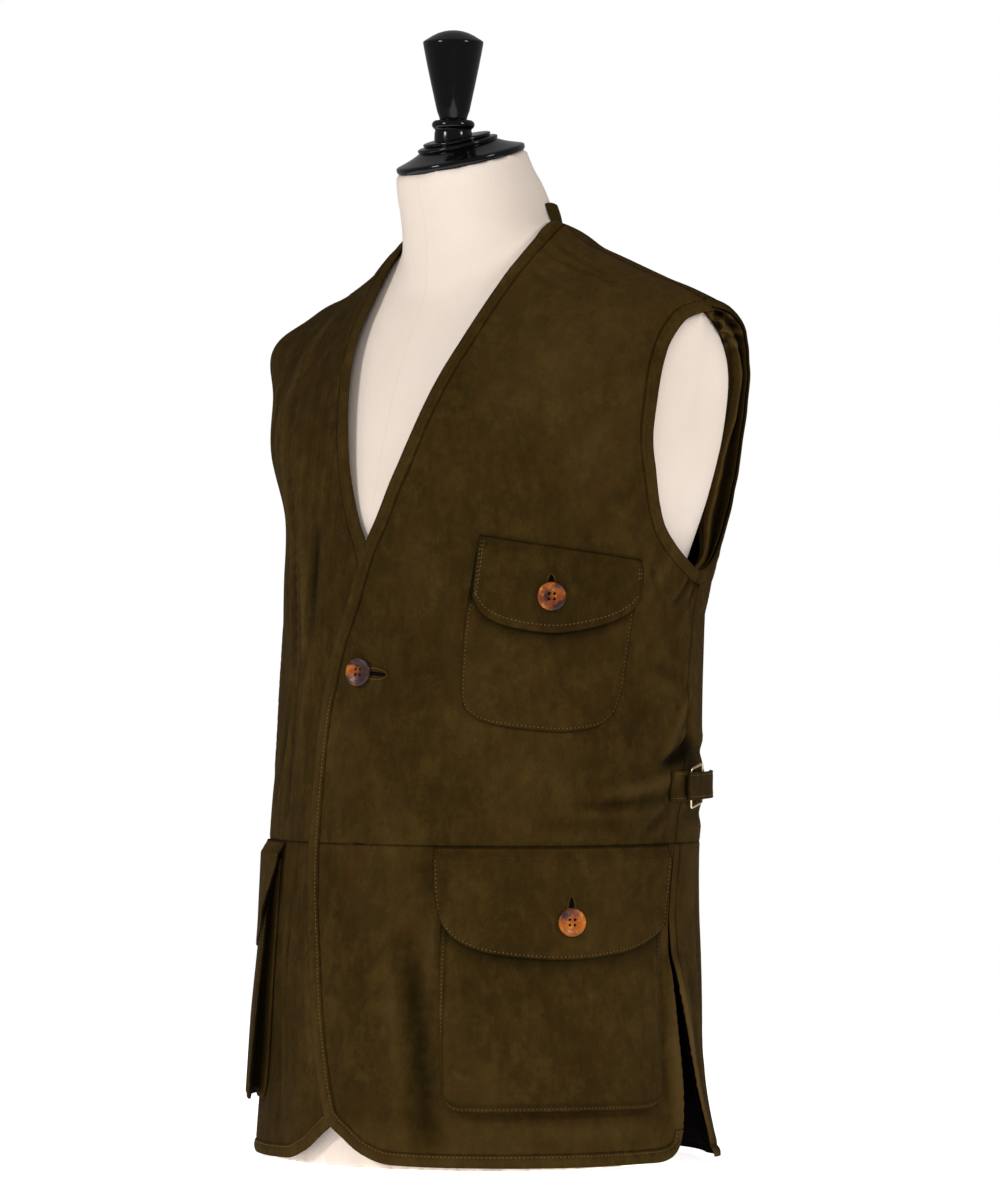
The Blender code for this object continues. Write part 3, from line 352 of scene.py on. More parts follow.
canvas = canvas_look()
form_angles = ridge_angles(FORM_SECTIONS, FORM_COLUMNS // 4)
form_heights = np.concatenate([np.linspace(0, SHOULDER_START, FORM_ROWS, endpoint=False),
                               np.linspace(SHOULDER_START, RIDGE_TOP, SHOULDER_ROWS + 1)])
form_angles, form_heights = np.broadcast_arrays(form_angles[None], form_heights[:, None])
torso = ring_grid(body_point(FORM_SECTIONS, FORM_SHOULDER, FORM_DROP, form_angles, form_heights)
                  + arm_flare(FORM_FLARE, form_angles, form_heights))
neck_heights = np.linspace(NECK["height"][0], NECK["height"][-1], NECK_ROWS)
neck_turn = np.radians(np.linspace(0, 360, FORM_COLUMNS + 1))[None]
depth, radius, tilt, aside = (along(NECK, column, neck_heights)[:, None]
                              for column in ("depth", "radius", "tilt", "aside"))
across, ahead = radius * np.sin(neck_turn), -radius * np.cos(neck_turn)
neck = ring_grid(np.stack([
    across, depth + ahead * np.cos(np.radians(tilt)),
    neck_heights[:, None] + ahead * np.sin(np.radians(tilt)) + across * np.tan(np.radians(aside))], -1))
neck_mesh = bpy.data.meshes.new("neck")
neck.to_mesh(neck_mesh)
neck.free()
torso.from_mesh(neck_mesh)
dress_form = keep(torso, "form_torso", canvas)
whole = dress_form.modifiers.new("whole", "REMESH")
whole.mode = "VOXEL"
whole.voxel_size = FORM_GRAIN * MM
eased = bmesh.new()
eased.from_mesh(settled(dress_form))
for rounds, low, high in zip(*EASING.values()):
    chosen = [vertex for vertex in eased.verts if low < vertex.co.z < high]
    for step in range(rounds):
        bmesh.ops.smooth_vert(eased, verts=chosen, factor=0.5,
                              use_axis_x=True, use_axis_y=True, use_axis_z=True)
eased.to_mesh(dress_form.data)
eased.free()
dress_form.data.shade_smooth()
belong(dress_form, "canvas", "dress_form")

# Neck cap and finial: turned wood under black lacquer. The stepped cap closes the neck at its tilt, and
# the upright knob on its stem stands in a socket in the cap.
CAP_TILT = math.radians(13)
CAP_ASIDE = math.radians(3.5)
CAP_BASE = (0, 3.8, 806.9)
CAP_HEIGHT = 19.5
CAP_PROFILE = ((0, 19.5), (26.4, 19.5), (27.5, 19.1), (27.8, 18.3), (27.4, 17.2), (27.1, 16.3),
               (31.6, 15.9), (32.7, 15.4), (33.0, 14.4), (32.6, 13.3), (32.3, 12.5), (35.0, 11.0),
               (38.0, 9.6), (42.0, 8.0), (46.0, 6.6), (49.5, 5.5), (52.0, 4.7), (52.8, 4.0),
               (53.0, 3.0), (52.9, 1.2), (52.4, 0.2), (0, 0.0))
FINIAL_BASE = (0, -5.5, 815.0)
FINIAL_PROFILE = ((0, 97.5), (4, 97.3), (8, 96.6), (12.5, 95.2), (17, 93.0), (20.4, 90.9), (22.8, 89.4),
                  (24.1, 88.5), (24.5, 87.4), (24.3, 86.0), (23.6, 82.0), (20.9, 68.0), (18.2, 55.0),
                  (15.6, 43.0), (13.2, 32.0), (11.5, 27.4), (11.0, 25.2), (12.4, 24.9), (15.0, 24.5),
                  (16.6, 23.3), (17.4, 21.4), (17.1, 19.6), (16.1, 18.2), (15.0, 17.4), (14.8, 16.4),
                  (15.3, 14.0), (15.5, 6.0), (0, 6.0))
FOOT_CLEAR = 0.4
STEM_RADIUS = 9.0
STEM_LENGTH = 20.0
SOCKET_RADIUS = 9.3
SOCKET_DEPTH = 40.0
SOCKET_BELOW = 0.35
TURNING_STEPS = 96
SHARP = math.radians(50)


def turned(profile, steps, place):
    """A turned solid from rows of (radius, height) in millimetres, set in its place."""
    shape = bmesh.new()
    rows = [shape.verts.new((radius * MM, 0, height * MM)) for radius, height in profile]
    for upper, lower in zip(rows, rows[1:]):
        shape.edges.new((upper, lower))
    bmesh.ops.spin(shape, geom=shape.verts[:] + shape.edges[:], cent=(0, 0, 0), axis=(0, 0, 1),
                   angle=math.tau, steps=steps, use_merge=True)
    bmesh.ops.remove_doubles(shape, verts=shape.verts, dist=0.005 * MM)
    bmesh.ops.recalc_face_normals(shape, faces=shape.faces)
    bmesh.ops.transform(shape, matrix=place, verts=shape.verts)
    return shape


def lacquer_look():
    """Black lacquer on turned wood: deep and glossy under a clear coat, with a trace of rubbing."""
    look, tree, shader = new_look("black_lacquer", {"Base Color": "050505", "Specular IOR Level": 0.26,
                                                    "Coat Weight": 0.1, "Coat Roughness": 0.04})
    rubbed = speckle(tree, added(tree, "TexCoord", {}, "Object"), 120, 3)
    put(tree, shader, {"Roughness": added(tree, "MapRange", {"Value": rubbed, "To Min": 0.07, "To Max": 0.17})})
    return look


def pins(radius, length, steps, places):
    """Cylinders along +Z, each with its middle at a place."""
    shape = bmesh.new()
    for place in places:
        bmesh.ops.create_cone(shape, cap_ends=True, segments=steps, radius1=radius * MM, radius2=radius * MM,
                              depth=length * MM, matrix=place)
    return shape


def moved(place, right=0.0, up=0.0, out=0.0):
    """A place moved along its own axes by millimetres."""
    return place @ Matrix.Translation(Vector((right, up, out)) * MM)


def worked(made, radius, length, steps, places, way, look=canvas):
    """The object cut or joined by passing cylinders, which are then gone."""
    tool = keep(pins(radius, length, steps, places), "passing", look)
    step = made.modifiers.new(way, "BOOLEAN")
    step.operation = way
    step.solver = "EXACT"
    step.object = tool
    settled(made)
    bpy.data.objects.remove(tool, do_unlink=True)
    made.data.shade_smooth()


lacquer = lacquer_look()
cap_place = (Matrix.Translation(Vector(CAP_BASE) * MM) @ Matrix.Rotation(CAP_TILT, 4, "X")
             @ Matrix.Rotation(-CAP_ASIDE, 4, "Y"))
finial_place = Matrix.Translation(Vector(FINIAL_BASE) * MM)
neck_cap = keep(turned(CAP_PROFILE, TURNING_STEPS, cap_place), "turned_neck_cap", lacquer)
finial = keep(turned(FINIAL_PROFILE, TURNING_STEPS, finial_place), "turned_finial", lacquer)
foot_cut = CAP_HEIGHT + FOOT_CLEAR
for made, radius, length, place, low, way in (
        (neck_cap, SOCKET_RADIUS, SOCKET_DEPTH, finial_place, -SOCKET_BELOW, "DIFFERENCE"),
        (finial, 2 * CAP_HEIGHT, foot_cut, cap_place, 0.0, "DIFFERENCE"),
        (finial, STEM_RADIUS, STEM_LENGTH, finial_place, 0.0, "UNION")):
    worked(made, radius, length, TURNING_STEPS, [moved(place, out=low + length / 2)], way)
for made, node in ((neck_cap, "neck_cap"), (finial, "finial")):
    made.data.set_sharp_from_angle(angle=SHARP)
    belong(made, "lacquer", node)

# Fronts: two panels of olive brown suede, calf split with a short brushed nap, cut to the waist seam, and a
# skirt below each. They hang from the shoulders, stand off the form and carry soft creases.
WALL = 1.6
SEAM = 0.35
HEM_BAND = 9.5
ARM_FACING = 10.0
ARM_SEAM = 0.55
LAP_LIFT = 2.4
WAIST = 257.0
SIDE_SEAM = 104.0
BAND_END = 27.0
VEST_SHOULDER = 230.0
VEST_SECTIONS = {
    "height": (0, 100, 180, 258, 330, 400, 480, 560),
    "half":   (184, 177, 177, 180, 182, 181, 185, 203),
    "front":  (-144, -140, -134, -127, -118, -112, -107, -97),
    "back":   (186, 184, 180, 173, 171, 172, 162, 152),
    "middle": (10, 12, 16, 22, 30, 38, 46, 50),
    "front_square": (2.0, 2.0, 2.0, 2.05, 2.1, 2.1, 2.1, 2.3),
    "back_square":  (2.5, 2.5, 2.5, 2.5, 2.5, 2.5, 2.6, 2.8),
}
VEST_DROP = {
    "out":  (0, 232),
    "drop": (0, 0),
}
FRONT_EDGE = {
    "height": (780, 755, 734, 709, 690, 672, 656, 641, 628, 601, 576, 548, 515, 498, 475, 452,
               416, 389, 358, 315, 262, 211, 164, 100, 61, 38),
    "left":   (22.2, 24.5, 26.0, 26.6, 26.6, 26.2, 25.4, 24.2, 22.7, 18.9, 14.8, 9.5, 4.2, 1.1, -2.2, -5.2,
               -10.6, -13.2, -15.7, -16.7, -16.4, -15.3, -12.5, -8.2, -4.6, -1.7),
    "right":  (22.2, 21.6, 20.6, 19.4, 19.0, 18.8, 19.3, 19.1, 18.4, 15.8, 12.9, 9.4, 3.8, 0.2, -3.2, -6.6,
               -12.2, -15.5, -18.0, -19.3, -18.8, -17.4, -13.3, -8.2, -4.6, -1.7),
}
BAND = {
    "height": (257, 416, 515, 601, 656, 780),
    "width":  (13, 13, 12, 10.5, 8.5, 8.5),
}
HEM_RUN = {
    "angle":  (1.2, 4.9, 12.0, 22.0, 36.0, 50.0, 64.0, 78.0, 90.0, 99.0, 104.5, 108.2, 109.4),
    "height": (31.5, 25.5, 13.0, 5.0, 4.0, 4.0, 4.0, 4.0, 4.0, 4.0, 6.5, 14.0, BAND_END),
}
ARMHOLE_FRONT = {
    "angle":  (75.3, 73.9, 72.4, 72.8, 73.9, 76.4, 78.5, 81.8, 86.4, 91.0, 97.6),
    "height": (780, 750, 722, 692, 668, 627, 587, 548, 515, 499, 484),
}
ARMHOLE_BACK = {
    "angle":  (109.5, 113.5, 117.0, 118.5, 118.0, 116.0, 112.0, 107.0, 103.2),
    "height": (484, 503, 540, 580, 620, 660, 700, 745, 780),
}
ARMHOLE_BOTTOM = 475.0
VENT = {
    "height": (WAIST, 200, 180, 120, 60, BAND_END + 0.4),
    "front":  (103.9, 103.9, 104.6, 107.7, 110.4, 109.8),
}
FOLDS = {
    "angle":  (27, 8, -30, -24, 150, 205, 180, 92, 96, 165, 238, -65, -57, -56),
    "height": (110, 110, 100, 330, 300, 300, 120, 292, 545, 520, 400, 675, 525, 335),
    "across": (5, 8, 6, 5, 9, 9, 10, 14, 7, 10, 9, 12, 12, 12),
    "along":  (85, 80, 90, 110, 110, 120, 130, 9, 60, 90, 90, 33, 36, 60),
    "out":    (-4.5, 2.5, -3.0, 3.0, 6.0, 6.5, 5.0, 2.5, 3.0, -4.0, 3.5, 13.0, -4.5, -2.0),
    "lean":   (0.02, 0.0, -0.02, 0.0, -0.03, 0.03, 0.0, 0.0, 0.0, 0.02, 0.0, 0.0, 0.0, 0.0),
}
ARM_FLARE = {
    "height": (440, 500, 540, 590, 640, 680, 720, 750, 780),
    "out":    (0, 12, 20, 30, 36, 32, 20, 7, 0),
}
ROLLING = {
    "high":   (0.30, 0.20, 0.14),
    "across": (9.1, 5.3, 2.9),
    "up":     (47.0, -31.0, 19.0),
    "shift":  (1.3, 0.4, 0.0),
}
# Creases: three points of (angle, height) that each bends through, its half width and how far it stands out
CREASES = (
    ((70, 290), (84, 289), (98, 295), 5.0, -2.6),
    ((78, 300), (88, 303), (101, 309), 5.0, 1.6),
    ((99, 286), (96, 277), (90, 263), 4.0, -1.8),
    ((96, 322), (101, 325), (106, 340), 5.5, -4.8),
    ((96, 330), (100, 350), (105, 378), 4.0, 2.0),
    ((104, 330), (105.5, 350), (106, 372), 3.0, -2.0),
    ((36, 236), (35, 200), (33.5, 120), 4.0, -1.4),
    ((60, 276), (70, 272), (82, 276), 5.0, -1.0),
    ((30, 276), (30.5, 266), (31, 256), 3.5, -1.2),
    ((38, 300), (48, 288), (60, 284), 6.0, -0.5),
    ((20, 330), (27, 305), (29, 280), 6.0, -0.4),
    ((88, 402), (93, 396), (100, 390), 4.0, -1.0),
    ((86, 388), (92, 383), (100, 378), 5.0, 0.7),
    ((100, 470), (99, 461), (95, 450), 2.6, -2.6),
    ((103.4, 474), (102.6, 462), (101, 448), 2.4, -2.6),
    ((90, 486), (88, 470), (84, 450), 4.5, 1.2),
    ((84, 520), (79, 500), (76, 478), 6.0, 0.6),
    ((77, 560), (71, 530), (68, 505), 7.0, -0.5),
    ((72, 620), (66, 590), (62, 560), 8.0, 0.5),
    ((28, 752), (36, 744), (47, 742), 3.0, -1.0),
    ((29, 734), (38, 732), (49, 735), 2.6, -1.1),
    ((30, 712), (37, 706), (46, 706), 3.0, -0.7),
    ((34, 690), (41, 670), (44, 640), 7.0, 0.6),
    ((52, 716), (58, 690), (60, 650), 9.0, 0.6),
    ((8, 520), (14, 480), (16, 430), 8.0, -0.5),
    ((4, 440), (12, 410), (22, 372), 7.0, 0.5),
    ((2, 372), (8, 345), (18, 312), 8.0, -0.5),
    ((25, 178), (29, 110), (33, 26), 12.0, -3.6),
    ((24, 50), (30, 36), (40, 24), 8.0, -0.8),
    ((60, 36), (75, 30), (92, 34), 7.0, 0.9),
    ((101, 240), (101.6, 200), (102.5, 130), 4.0, 1.6),
    ((101, 110), (103.5, 84), (105, 50), 3.5, -1.2),
    ((107, 150), (110, 95), (109.6, 30), 11.0, 5.0),
    ((84.5, 481), (86, 470), (88, 456), 3.0, -1.6),
    ((-23, 506), (-24, 470), (-23, 424), 7.0, -3.4),
    ((-32, 520), (-31, 470), (-27, 410), 5.0, 1.8),
    ((-40, 560), (-38, 480), (-34, 400), 6.0, -2.4),
    ((-46, 600), (-47, 520), (-44, 430), 5.0, 1.4),
    ((-22, 400), (-26, 360), (-28, 300), 6.0, 1.5),
    ((-30, 410), (-33, 350), (-33, 280), 4.5, -1.8),
    ((-36, 380), (-40, 330), (-44, 290), 5.0, -2.2),
    ((-52, 640), (-56, 600), (-56, 560), 5.0, -1.6),
    ((-52, 420), (-52, 370), (-58, 320), 8.0, 1.5),
    ((-70, 292), (-84, 288), (-98, 294), 4.5, -2.2),
    ((-98, 284), (-93, 274), (-88, 262), 4.0, -1.6),
    ((-84, 402), (-92, 392), (-100, 386), 5.0, -1.6),
    ((-97, 476), (-95, 458), (-92, 440), 3.5, -1.3),
    ((-103, 472), (-102, 456), (-100, 440), 3.0, -1.2),
    ((-76, 560), (-70, 530), (-66, 500), 7.0, -1.4),
    ((-28, 750), (-36, 742), (-46, 744), 3.5, 1.4),
    ((-30, 722), (-38, 722), (-48, 728), 3.5, 1.2),
    ((-40, 690), (-46, 650), (-48, 600), 8.0, 1.5),
    ((-24, 230), (-27, 190), (-30, 120), 5.0, -1.8),
    ((-29, 110), (-27, 70), (-24, 30), 6.0, 1.3),
    ((-16, 200), (-15, 150), (-10, 90), 7.0, 1.5),
    ((109, 474), (111, 458), (116, 440), 3.5, -1.4),
    ((114, 486), (120, 466), (128, 452), 5.0, 1.5),
    ((120, 540), (132, 500), (150, 478), 8.0, -2.2),
    ((121, 600), (136, 560), (158, 540), 9.0, 1.8),
    ((118, 650), (132, 640), (150, 620), 8.0, -1.6),
    ((108, 330), (122, 326), (140, 336), 6.0, -2.4),
    ((108, 282), (124, 276), (146, 284), 6.0, -2.2),
    ((132, 350), (146, 372), (162, 384), 8.0, 1.8),
    ((160, 296), (176, 288), (196, 298), 7.0, -2.2),
    ((150, 240), (154, 190), (150, 110), 8.0, -2.2),
    ((172, 236), (170, 170), (174, 90), 9.0, 2.0),
    ((120, 230), (124, 170), (122, 90), 7.0, -1.8),
    ((251, 474), (249, 458), (244, 440), 3.5, -1.4),
    ((240, 540), (228, 505), (208, 486), 8.0, -2.0),
    ((239, 600), (222, 566), (202, 548), 9.0, 1.7),
    ((252, 328), (238, 320), (218, 330), 6.0, -2.4),
    ((252, 284), (236, 280), (214, 288), 6.0, -2.0),
    ((210, 240), (206, 190), (211, 110), 8.0, -2.0),
    ((240, 232), (236, 170), (238, 90), 7.0, -1.8),
    ((190, 690), (200, 660), (204, 620), 9.0, 1.3),
    ((168, 700), (164, 670), (150, 650), 8.0, 1.2),
)
DEGREE = 3.15
ANGLE_STEP = 0.2
HEIGHT_STEP = 0.3
CREASE_STEPS = 15
CREASE_REACH = (40, 130)
ROLLING_FADE = (770, 700)
PATH_STEPS = 24
FINER = 8
STEPS = 7
EDGE_LINES = (0, 0.6, 1.2, 1.8, 2.4, 3.0, 3.7, 5.2, 8.0)
EDGE_ROOM = 2.6
LEAST_SIDE = 0.0101
ROUNDED_FROM = math.radians(55)
STITCH_IN = EDGE_LINES[4]
ALL_EDGES = ("left", "right", "low", "high")
SIDES_AND_LOW = ALL_EDGES[:3]
SIDES = ((1, "left"), (-1, "right"))


def vest_base(angle, height):
    return body_point(VEST_SECTIONS, VEST_SHOULDER, VEST_DROP, angle, height)


def unit(vectors):
    """The same directions, each one long."""
    return vectors / np.linalg.norm(vectors, axis=-1, keepdims=True)


def slopes(surface, angle, height):
    """How a surface runs on for a degree of angle and for a millimetre of height."""
    height = np.minimum(height, RIDGE_TOP - HEIGHT_STEP)
    return ((surface(angle + ANGLE_STEP, height) - surface(angle - ANGLE_STEP, height)) / (2 * ANGLE_STEP),
            (surface(angle, height + HEIGHT_STEP) - surface(angle, height - HEIGHT_STEP)) / (2 * HEIGHT_STEP))


def normals(surface, angle, height):
    """Outward unit normals of a surface that is a function of angle and height."""
    return unit(np.cross(*slopes(surface, angle, height)))


def side_gap(angle):
    """An angle brought between -180 and 180."""
    return np.mod(angle + 180, 360) - 180


def stand_off(angle, height):
    """How far the large folds move the cloth out from its plain form."""
    total = np.zeros(np.shape(angle))
    for at, level, across, up, out, lean in zip(*FOLDS.values()):
        rise = height - level
        total = total + out * bell(side_gap(angle - at - lean * rise), across) * bell(rise, up)
    return total


def cloth(angle, height):
    """Inner face of the vest with its large folds."""
    folded = normals(vest_base, angle, height) * stand_off(angle, height)[..., None]
    return vest_base(angle, height) + folded + arm_flare(ARM_FLARE, angle, height)


def creased(angle, height):
    """How far the creases move the cloth out: each a soft valley or ridge with a low lip at both sides."""
    flat_angle, flat_height = np.ravel(angle), np.ravel(height)
    total = np.zeros(flat_angle.shape)
    share = np.linspace(0, 1, CREASE_STEPS)
    for start, middle, end, width, depth in CREASES:
        near = ((np.abs(side_gap(flat_angle - middle[0])) < CREASE_REACH[0])
                & (np.abs(flat_height - middle[1]) < CREASE_REACH[1]))
        if not near.any():
            continue
        across, up = [(1 - share) ** 2 * first + 2 * share * (1 - share) * half + share ** 2 * last
                      for first, half, last in zip(start, middle, end)]
        gap = np.hypot(side_gap(flat_angle[near][:, None] - across) * DEGREE, flat_height[near][:, None] - up)
        fade = np.sin(np.pi * (share[np.argmin(gap, axis=1)] * 0.8 + 0.1)) ** 0.7
        gap = gap.min(axis=1) / width
        total[near] += depth * fade * (bell(gap, 1) - 0.3 * bell(gap - 1.9, 0.8))
    rolling = sum(high * np.sin(flat_angle / across + flat_height / up + shift)
                  for high, across, up, shift in zip(*ROLLING.values()))
    return (total + rolling * soft(flat_height, *ROLLING_FADE)).reshape(np.shape(angle))


def skin(angle, height, out=0.0):
    """Point of the vest this many millimetres outside its inner face."""
    angle, height, out = np.broadcast_arrays(*(np.asarray(value, float) for value in (angle, height, out)))
    return cloth(angle, height) + normals(cloth, angle, height) * (out + creased(angle, height))[..., None]


def lap(side, angle):
    """Lift of the wearer's left front where it laps over the right one."""
    return LAP_LIFT * soft(angle, 34, 20) if side > 0 else 0.0 * angle


def at_rows(path, rows):
    """Points of a path at row numbers with fractions."""
    number = np.arange(len(path))
    return np.stack([np.interp(rows, number, path[:, k]) for k in (0, 1)], -1)


def lengths(points):
    """Length from the first of a row of points to each of them; further axes are more rows beside it."""
    steps = np.linalg.norm(np.diff(points, axis=0), axis=-1)
    return np.concatenate([0 * steps[:1], np.cumsum(steps, axis=0)])


def stations(path, start, end, count):
    """Places along a path of (angle, height) rows, as row numbers, spaced by length on the cloth."""
    fine = np.linspace(start, end, FINER * count + 1)
    run = lengths(vest_base(*at_rows(path, fine).T))
    return np.interp(np.linspace(0, run[-1], count + 1), run, fine)


def resample(points, count):
    """Points spaced evenly along a path of (angle, height) rows, by its length on the cloth."""
    points = np.array(points, float)
    return at_rows(points, stations(points, 0, len(points) - 1, count))


def smooth_path(points):
    """A path of (angle, height) rows made finer by a smooth curve through its points."""
    points = np.array(points, float)
    rows = np.arange(len(points), dtype=float)
    at = np.linspace(0, rows[-1], (len(points) - 1) * PATH_STEPS + 1)
    return np.stack([along({"row": rows, "value": column}, "value", at) for column in points.T], -1)


def path_of(table, column="angle"):
    """A table's angles and heights as a path."""
    return np.stack([table[column], table["height"]], -1).astype(float)


def inset(path, width):
    """The path moved to its left on the cloth by this many millimetres, or by one number for each row."""
    path = np.array(path, float)
    across, up = slopes(vest_base, path[:, 0], path[:, 1])
    step = np.gradient(path, axis=0)
    left = np.cross(unit(np.cross(across, up)), unit(across * step[:, :1] + up * step[:, 1:]))
    aa, au, uu, la, lu = [(one * other).sum(1) for one, other in (
        (across, across), (across, up), (up, up), (left, across), (left, up))]
    moved_on = np.stack([la * uu - lu * au, lu * aa - la * au], -1) / (aa * uu - au * au)[:, None]
    return path + moved_on * np.broadcast_to(width, len(path))[:, None]


def fill(bottom, right, top, left):
    """Grid of (angle, height) inside four edges, each an array of points from left to right or upwards."""
    across = np.linspace(0, 1, len(bottom))[None, :, None]
    up = np.linspace(0, 1, len(left))[:, None, None]
    edges = (1 - up) * bottom[None] + up * top[None] + (1 - across) * left[:, None] + across * right[:, None]
    corners = ((1 - up) * ((1 - across) * bottom[0] + across * bottom[-1])
               + up * ((1 - across) * top[0] + across * top[-1]))
    return edges - corners


def panel(left, right, count):
    """Grid between a left and a right edge, its lower and upper edges straight."""
    return fill(resample([left[0], right[0]], count), right, resample([left[-1], right[-1]], count), left)


def runs(grid):
    """Millimetres on the cloth from each point of a grid to its left, right, lower and upper edge."""
    at = vest_base(grid[..., 0], grid[..., 1])
    left, low = lengths(at.transpose(1, 0, 2)).T, lengths(at)
    return {"left": left, "right": left[:, -1:] - left, "low": low, "high": low[-1:] - low}


def crowd(grid, count):
    """The grid with its columns set anew: at fixed millimetres from both side edges, and evenly between."""
    run = runs(grid)["left"]
    near = np.array(EDGE_LINES)
    rows = []
    for row in range(len(grid)):
        total = run[row, -1]
        close = near * min(1.0, total / (EDGE_ROOM * near[-1]))
        middle = np.linspace(close[-1], total - close[-1], count + 1)[1:-1]
        target = np.concatenate([close, middle, total - close[::-1]])
        rows.append(np.stack([np.interp(target, run[row], grid[row, :, k]) for k in (0, 1)], -1))
    return np.array(rows)


def crowd_both(grid, across, up):
    """Lines crowded at all four edges."""
    return crowd(crowd(grid, across).transpose(1, 0, 2), up).transpose(1, 0, 2)


def between(rows):
    """Row numbers with more between each two."""
    return np.interp(np.arange(STEPS * (len(rows) - 1) + 1) / STEPS, np.arange(len(rows)), rows)


def beside(run, edges, width, inside=0.0):
    """1 along a line this far inside the edges, falling off softly."""
    return sum(bell(run[edge] - inside, width) for edge in edges)


def seam_dip(run, edges, depth=0.5, pucker=0.22):
    """How far a piece rolls down to its seamed edges, with small puckers beside them."""
    total = 0.0
    for edge in edges:
        other = run["low"] if edge in ("left", "right") else run["left"]
        wave = np.sin(other / 2.3 + 1.7 * np.sin(other / 13.0))
        total = total - depth * bell(run[edge], 1.5) + pucker * wave * np.exp(-run[edge] / 5.0)
    return total


def edge_shade_and_highlight(run, edges, width=0.9, share=0.9):
    """Painted shade along the edges that are sewn down into a seam; with a share below 0, a painted highlight
    along them instead.
    """
    return share * np.clip(beside(run, edges, width), 0, 1)


SUEDE_LAYERS = {
    "scale":  (88, 12, 150, 46, 38, 700),
    "detail": (6, 5, 4, 6, 6, 3),
    "rough":  (0.76, 0.70, 0.65, 0.78, 0.78, 0.65),
    "tall":   (0.7, 0.7, 0.25, 0.8, 1, 1),
    "low":    (0.40, 0.40, 0.40, 0.50, 0.50, 0.25),
    "high":   (0.60, 0.62, 0.66, 0.62, 0.62, 0.75),
    "share":  (0.85, 0.55, 0.30, 0.50, 0.45, 0.40),
    "tone":   (1, 2, 1, 6, 3, 2),
}


def suede_look(name, tones, nap=1.0):
    """Olive brown suede: a matt short nap, lighter and darker as it was brushed, with painted shade in creases,
    seams and recesses and painted highlights, with some rubbing, on ridges and edges. Tones: usual, brushed up,
    brushed down, warm patch, painted deep shade, painted highlight and rubbing, wear."""
    look, tree, shader = new_look(name, {"Roughness": 1.0, "Specular IOR Level": 0.04, "Sheen Weight": 0.035,
                                         "Sheen Roughness": 0.4, "Sheen Tint": "A08A58"})
    place = added(tree, "TexCoord", {}, "Object")
    layers = [(speckle(tree, place, *noise), share, tones[number])
              for *noise, share, number in zip(*SUEDE_LAYERS.values())]
    # The attribute's values above 0 paint shade, and those below 0 paint highlights with some rubbing.
    painted_light_and_wear = added(tree, "Attribute", {"attribute_name": "painted_light_and_wear"}, "Fac")
    painted_light_layers = [(added(tree, "MapRange", {"Value": painted_light_and_wear, "From Max": end, "To Max": most}), 1.0, tones[number])
               for end, most, number in ((1.0, 0.97, 4), (-1.0, 0.7, 5))]
    put(tree, shader, {"Base Color": tinted(tree, tones[0], layers + painted_light_layers)})
    relief(tree, shader, [(layers[0][0], 0.35 * nap), (layers[-1][0], 0.25 * nap)])
    return look


def lining_look():
    """Black twill lining: close and smooth, a little lighter in soft patches."""
    look, tree, shader = new_look("black_twill_lining", {"Roughness": 0.9, "Specular IOR Level": 0.0})
    place = added(tree, "TexCoord", {}, "Object")
    tone = tinted(tree, "0A0607", [(speckle(tree, place, 45, 3), 1.0, "130E0F")])
    put(tree, shader, {"Base Color": tone})
    relief(tree, shader, ((speckle(tree, place, 700, 2, 0.5, 0.4), 0.15),))
    return look


suede = suede_look("olive_brown_suede",
                   ("33250C", "423112", "231A07", "3A220B", "0E0A02", "5A4624", "4B3917"))
lining = lining_look()


def cut_size(points):
    """Width, length and area in metres of a piece laid flat, from a grid of its points in millimetres."""
    wide, tall = [max(lengths(one)[-1].max() * MM, LEAST_SIDE) for one in (points.transpose(1, 0, 2), points)]
    corners = np.cross(points[1:, 1:] - points[:-1, :-1], points[1:, :-1] - points[:-1, 1:])
    area = np.linalg.norm(corners, axis=2).sum() / 2 * MM * MM
    return (round(wide, 4), round(tall, 4)), round(min(area, wide * tall), 6)


def cut_piece(name, nodes, points, painted_light_and_wear, held, rests_on, look=None, slot="suede", wall=WALL, inner=None,
              offset=1.0, rim=0.45, every=1):
    """A cut piece through a grid of points in millimetres, with its wall and its edge rounded; inner is the
    look of its other face, and the painted light and wear at each point is shade above 0 and highlight with
    rubbing below 0."""
    made = keep(bent(points, np.clip(painted_light_and_wear, -1, 1)), name, look or suede)
    thick = made.modifiers.new("wall", "SOLIDIFY")
    thick.thickness = wall * MM
    thick.offset = offset
    thick.use_even_offset = False
    if inner is not None:
        made.data.materials.append(inner)
        thick.material_offset = 1
    edge = made.modifiers.new("edge", "BEVEL")
    edge.width = rim * MM
    edge.segments = 2
    edge.limit_method = "ANGLE"
    edge.angle_limit = ROUNDED_FROM
    edge.use_clamp_overlap = True
    belong(made, slot, *nodes)
    flat, area = cut_size(points[::every, ::every])


def cloth_piece(name, node, side, grid, out, held, rests_on, marks_of_light_and_wear=0.0, **settings):
    """A cut piece on the vest, through its grid of angles and heights."""
    out, marks_of_light_and_wear = (np.broadcast_to(value, grid.shape[:2]) for value in (out, marks_of_light_and_wear))
    if side < 0:
        grid, out, marks_of_light_and_wear = (value[:, ::-1] for value in (grid, out, marks_of_light_and_wear))
    points = skin(side * grid[..., 0], grid[..., 1], out)
    # Painted shade in the creases' valleys and painted highlights on their ridges, added to the piece's own
    # marks.
    painted_light_and_wear = marks_of_light_and_wear - 0.22 * creased(side * grid[..., 0], grid[..., 1])
    cut_piece(name, [node], points, painted_light_and_wear, held, [rests_on], every=2, **settings)


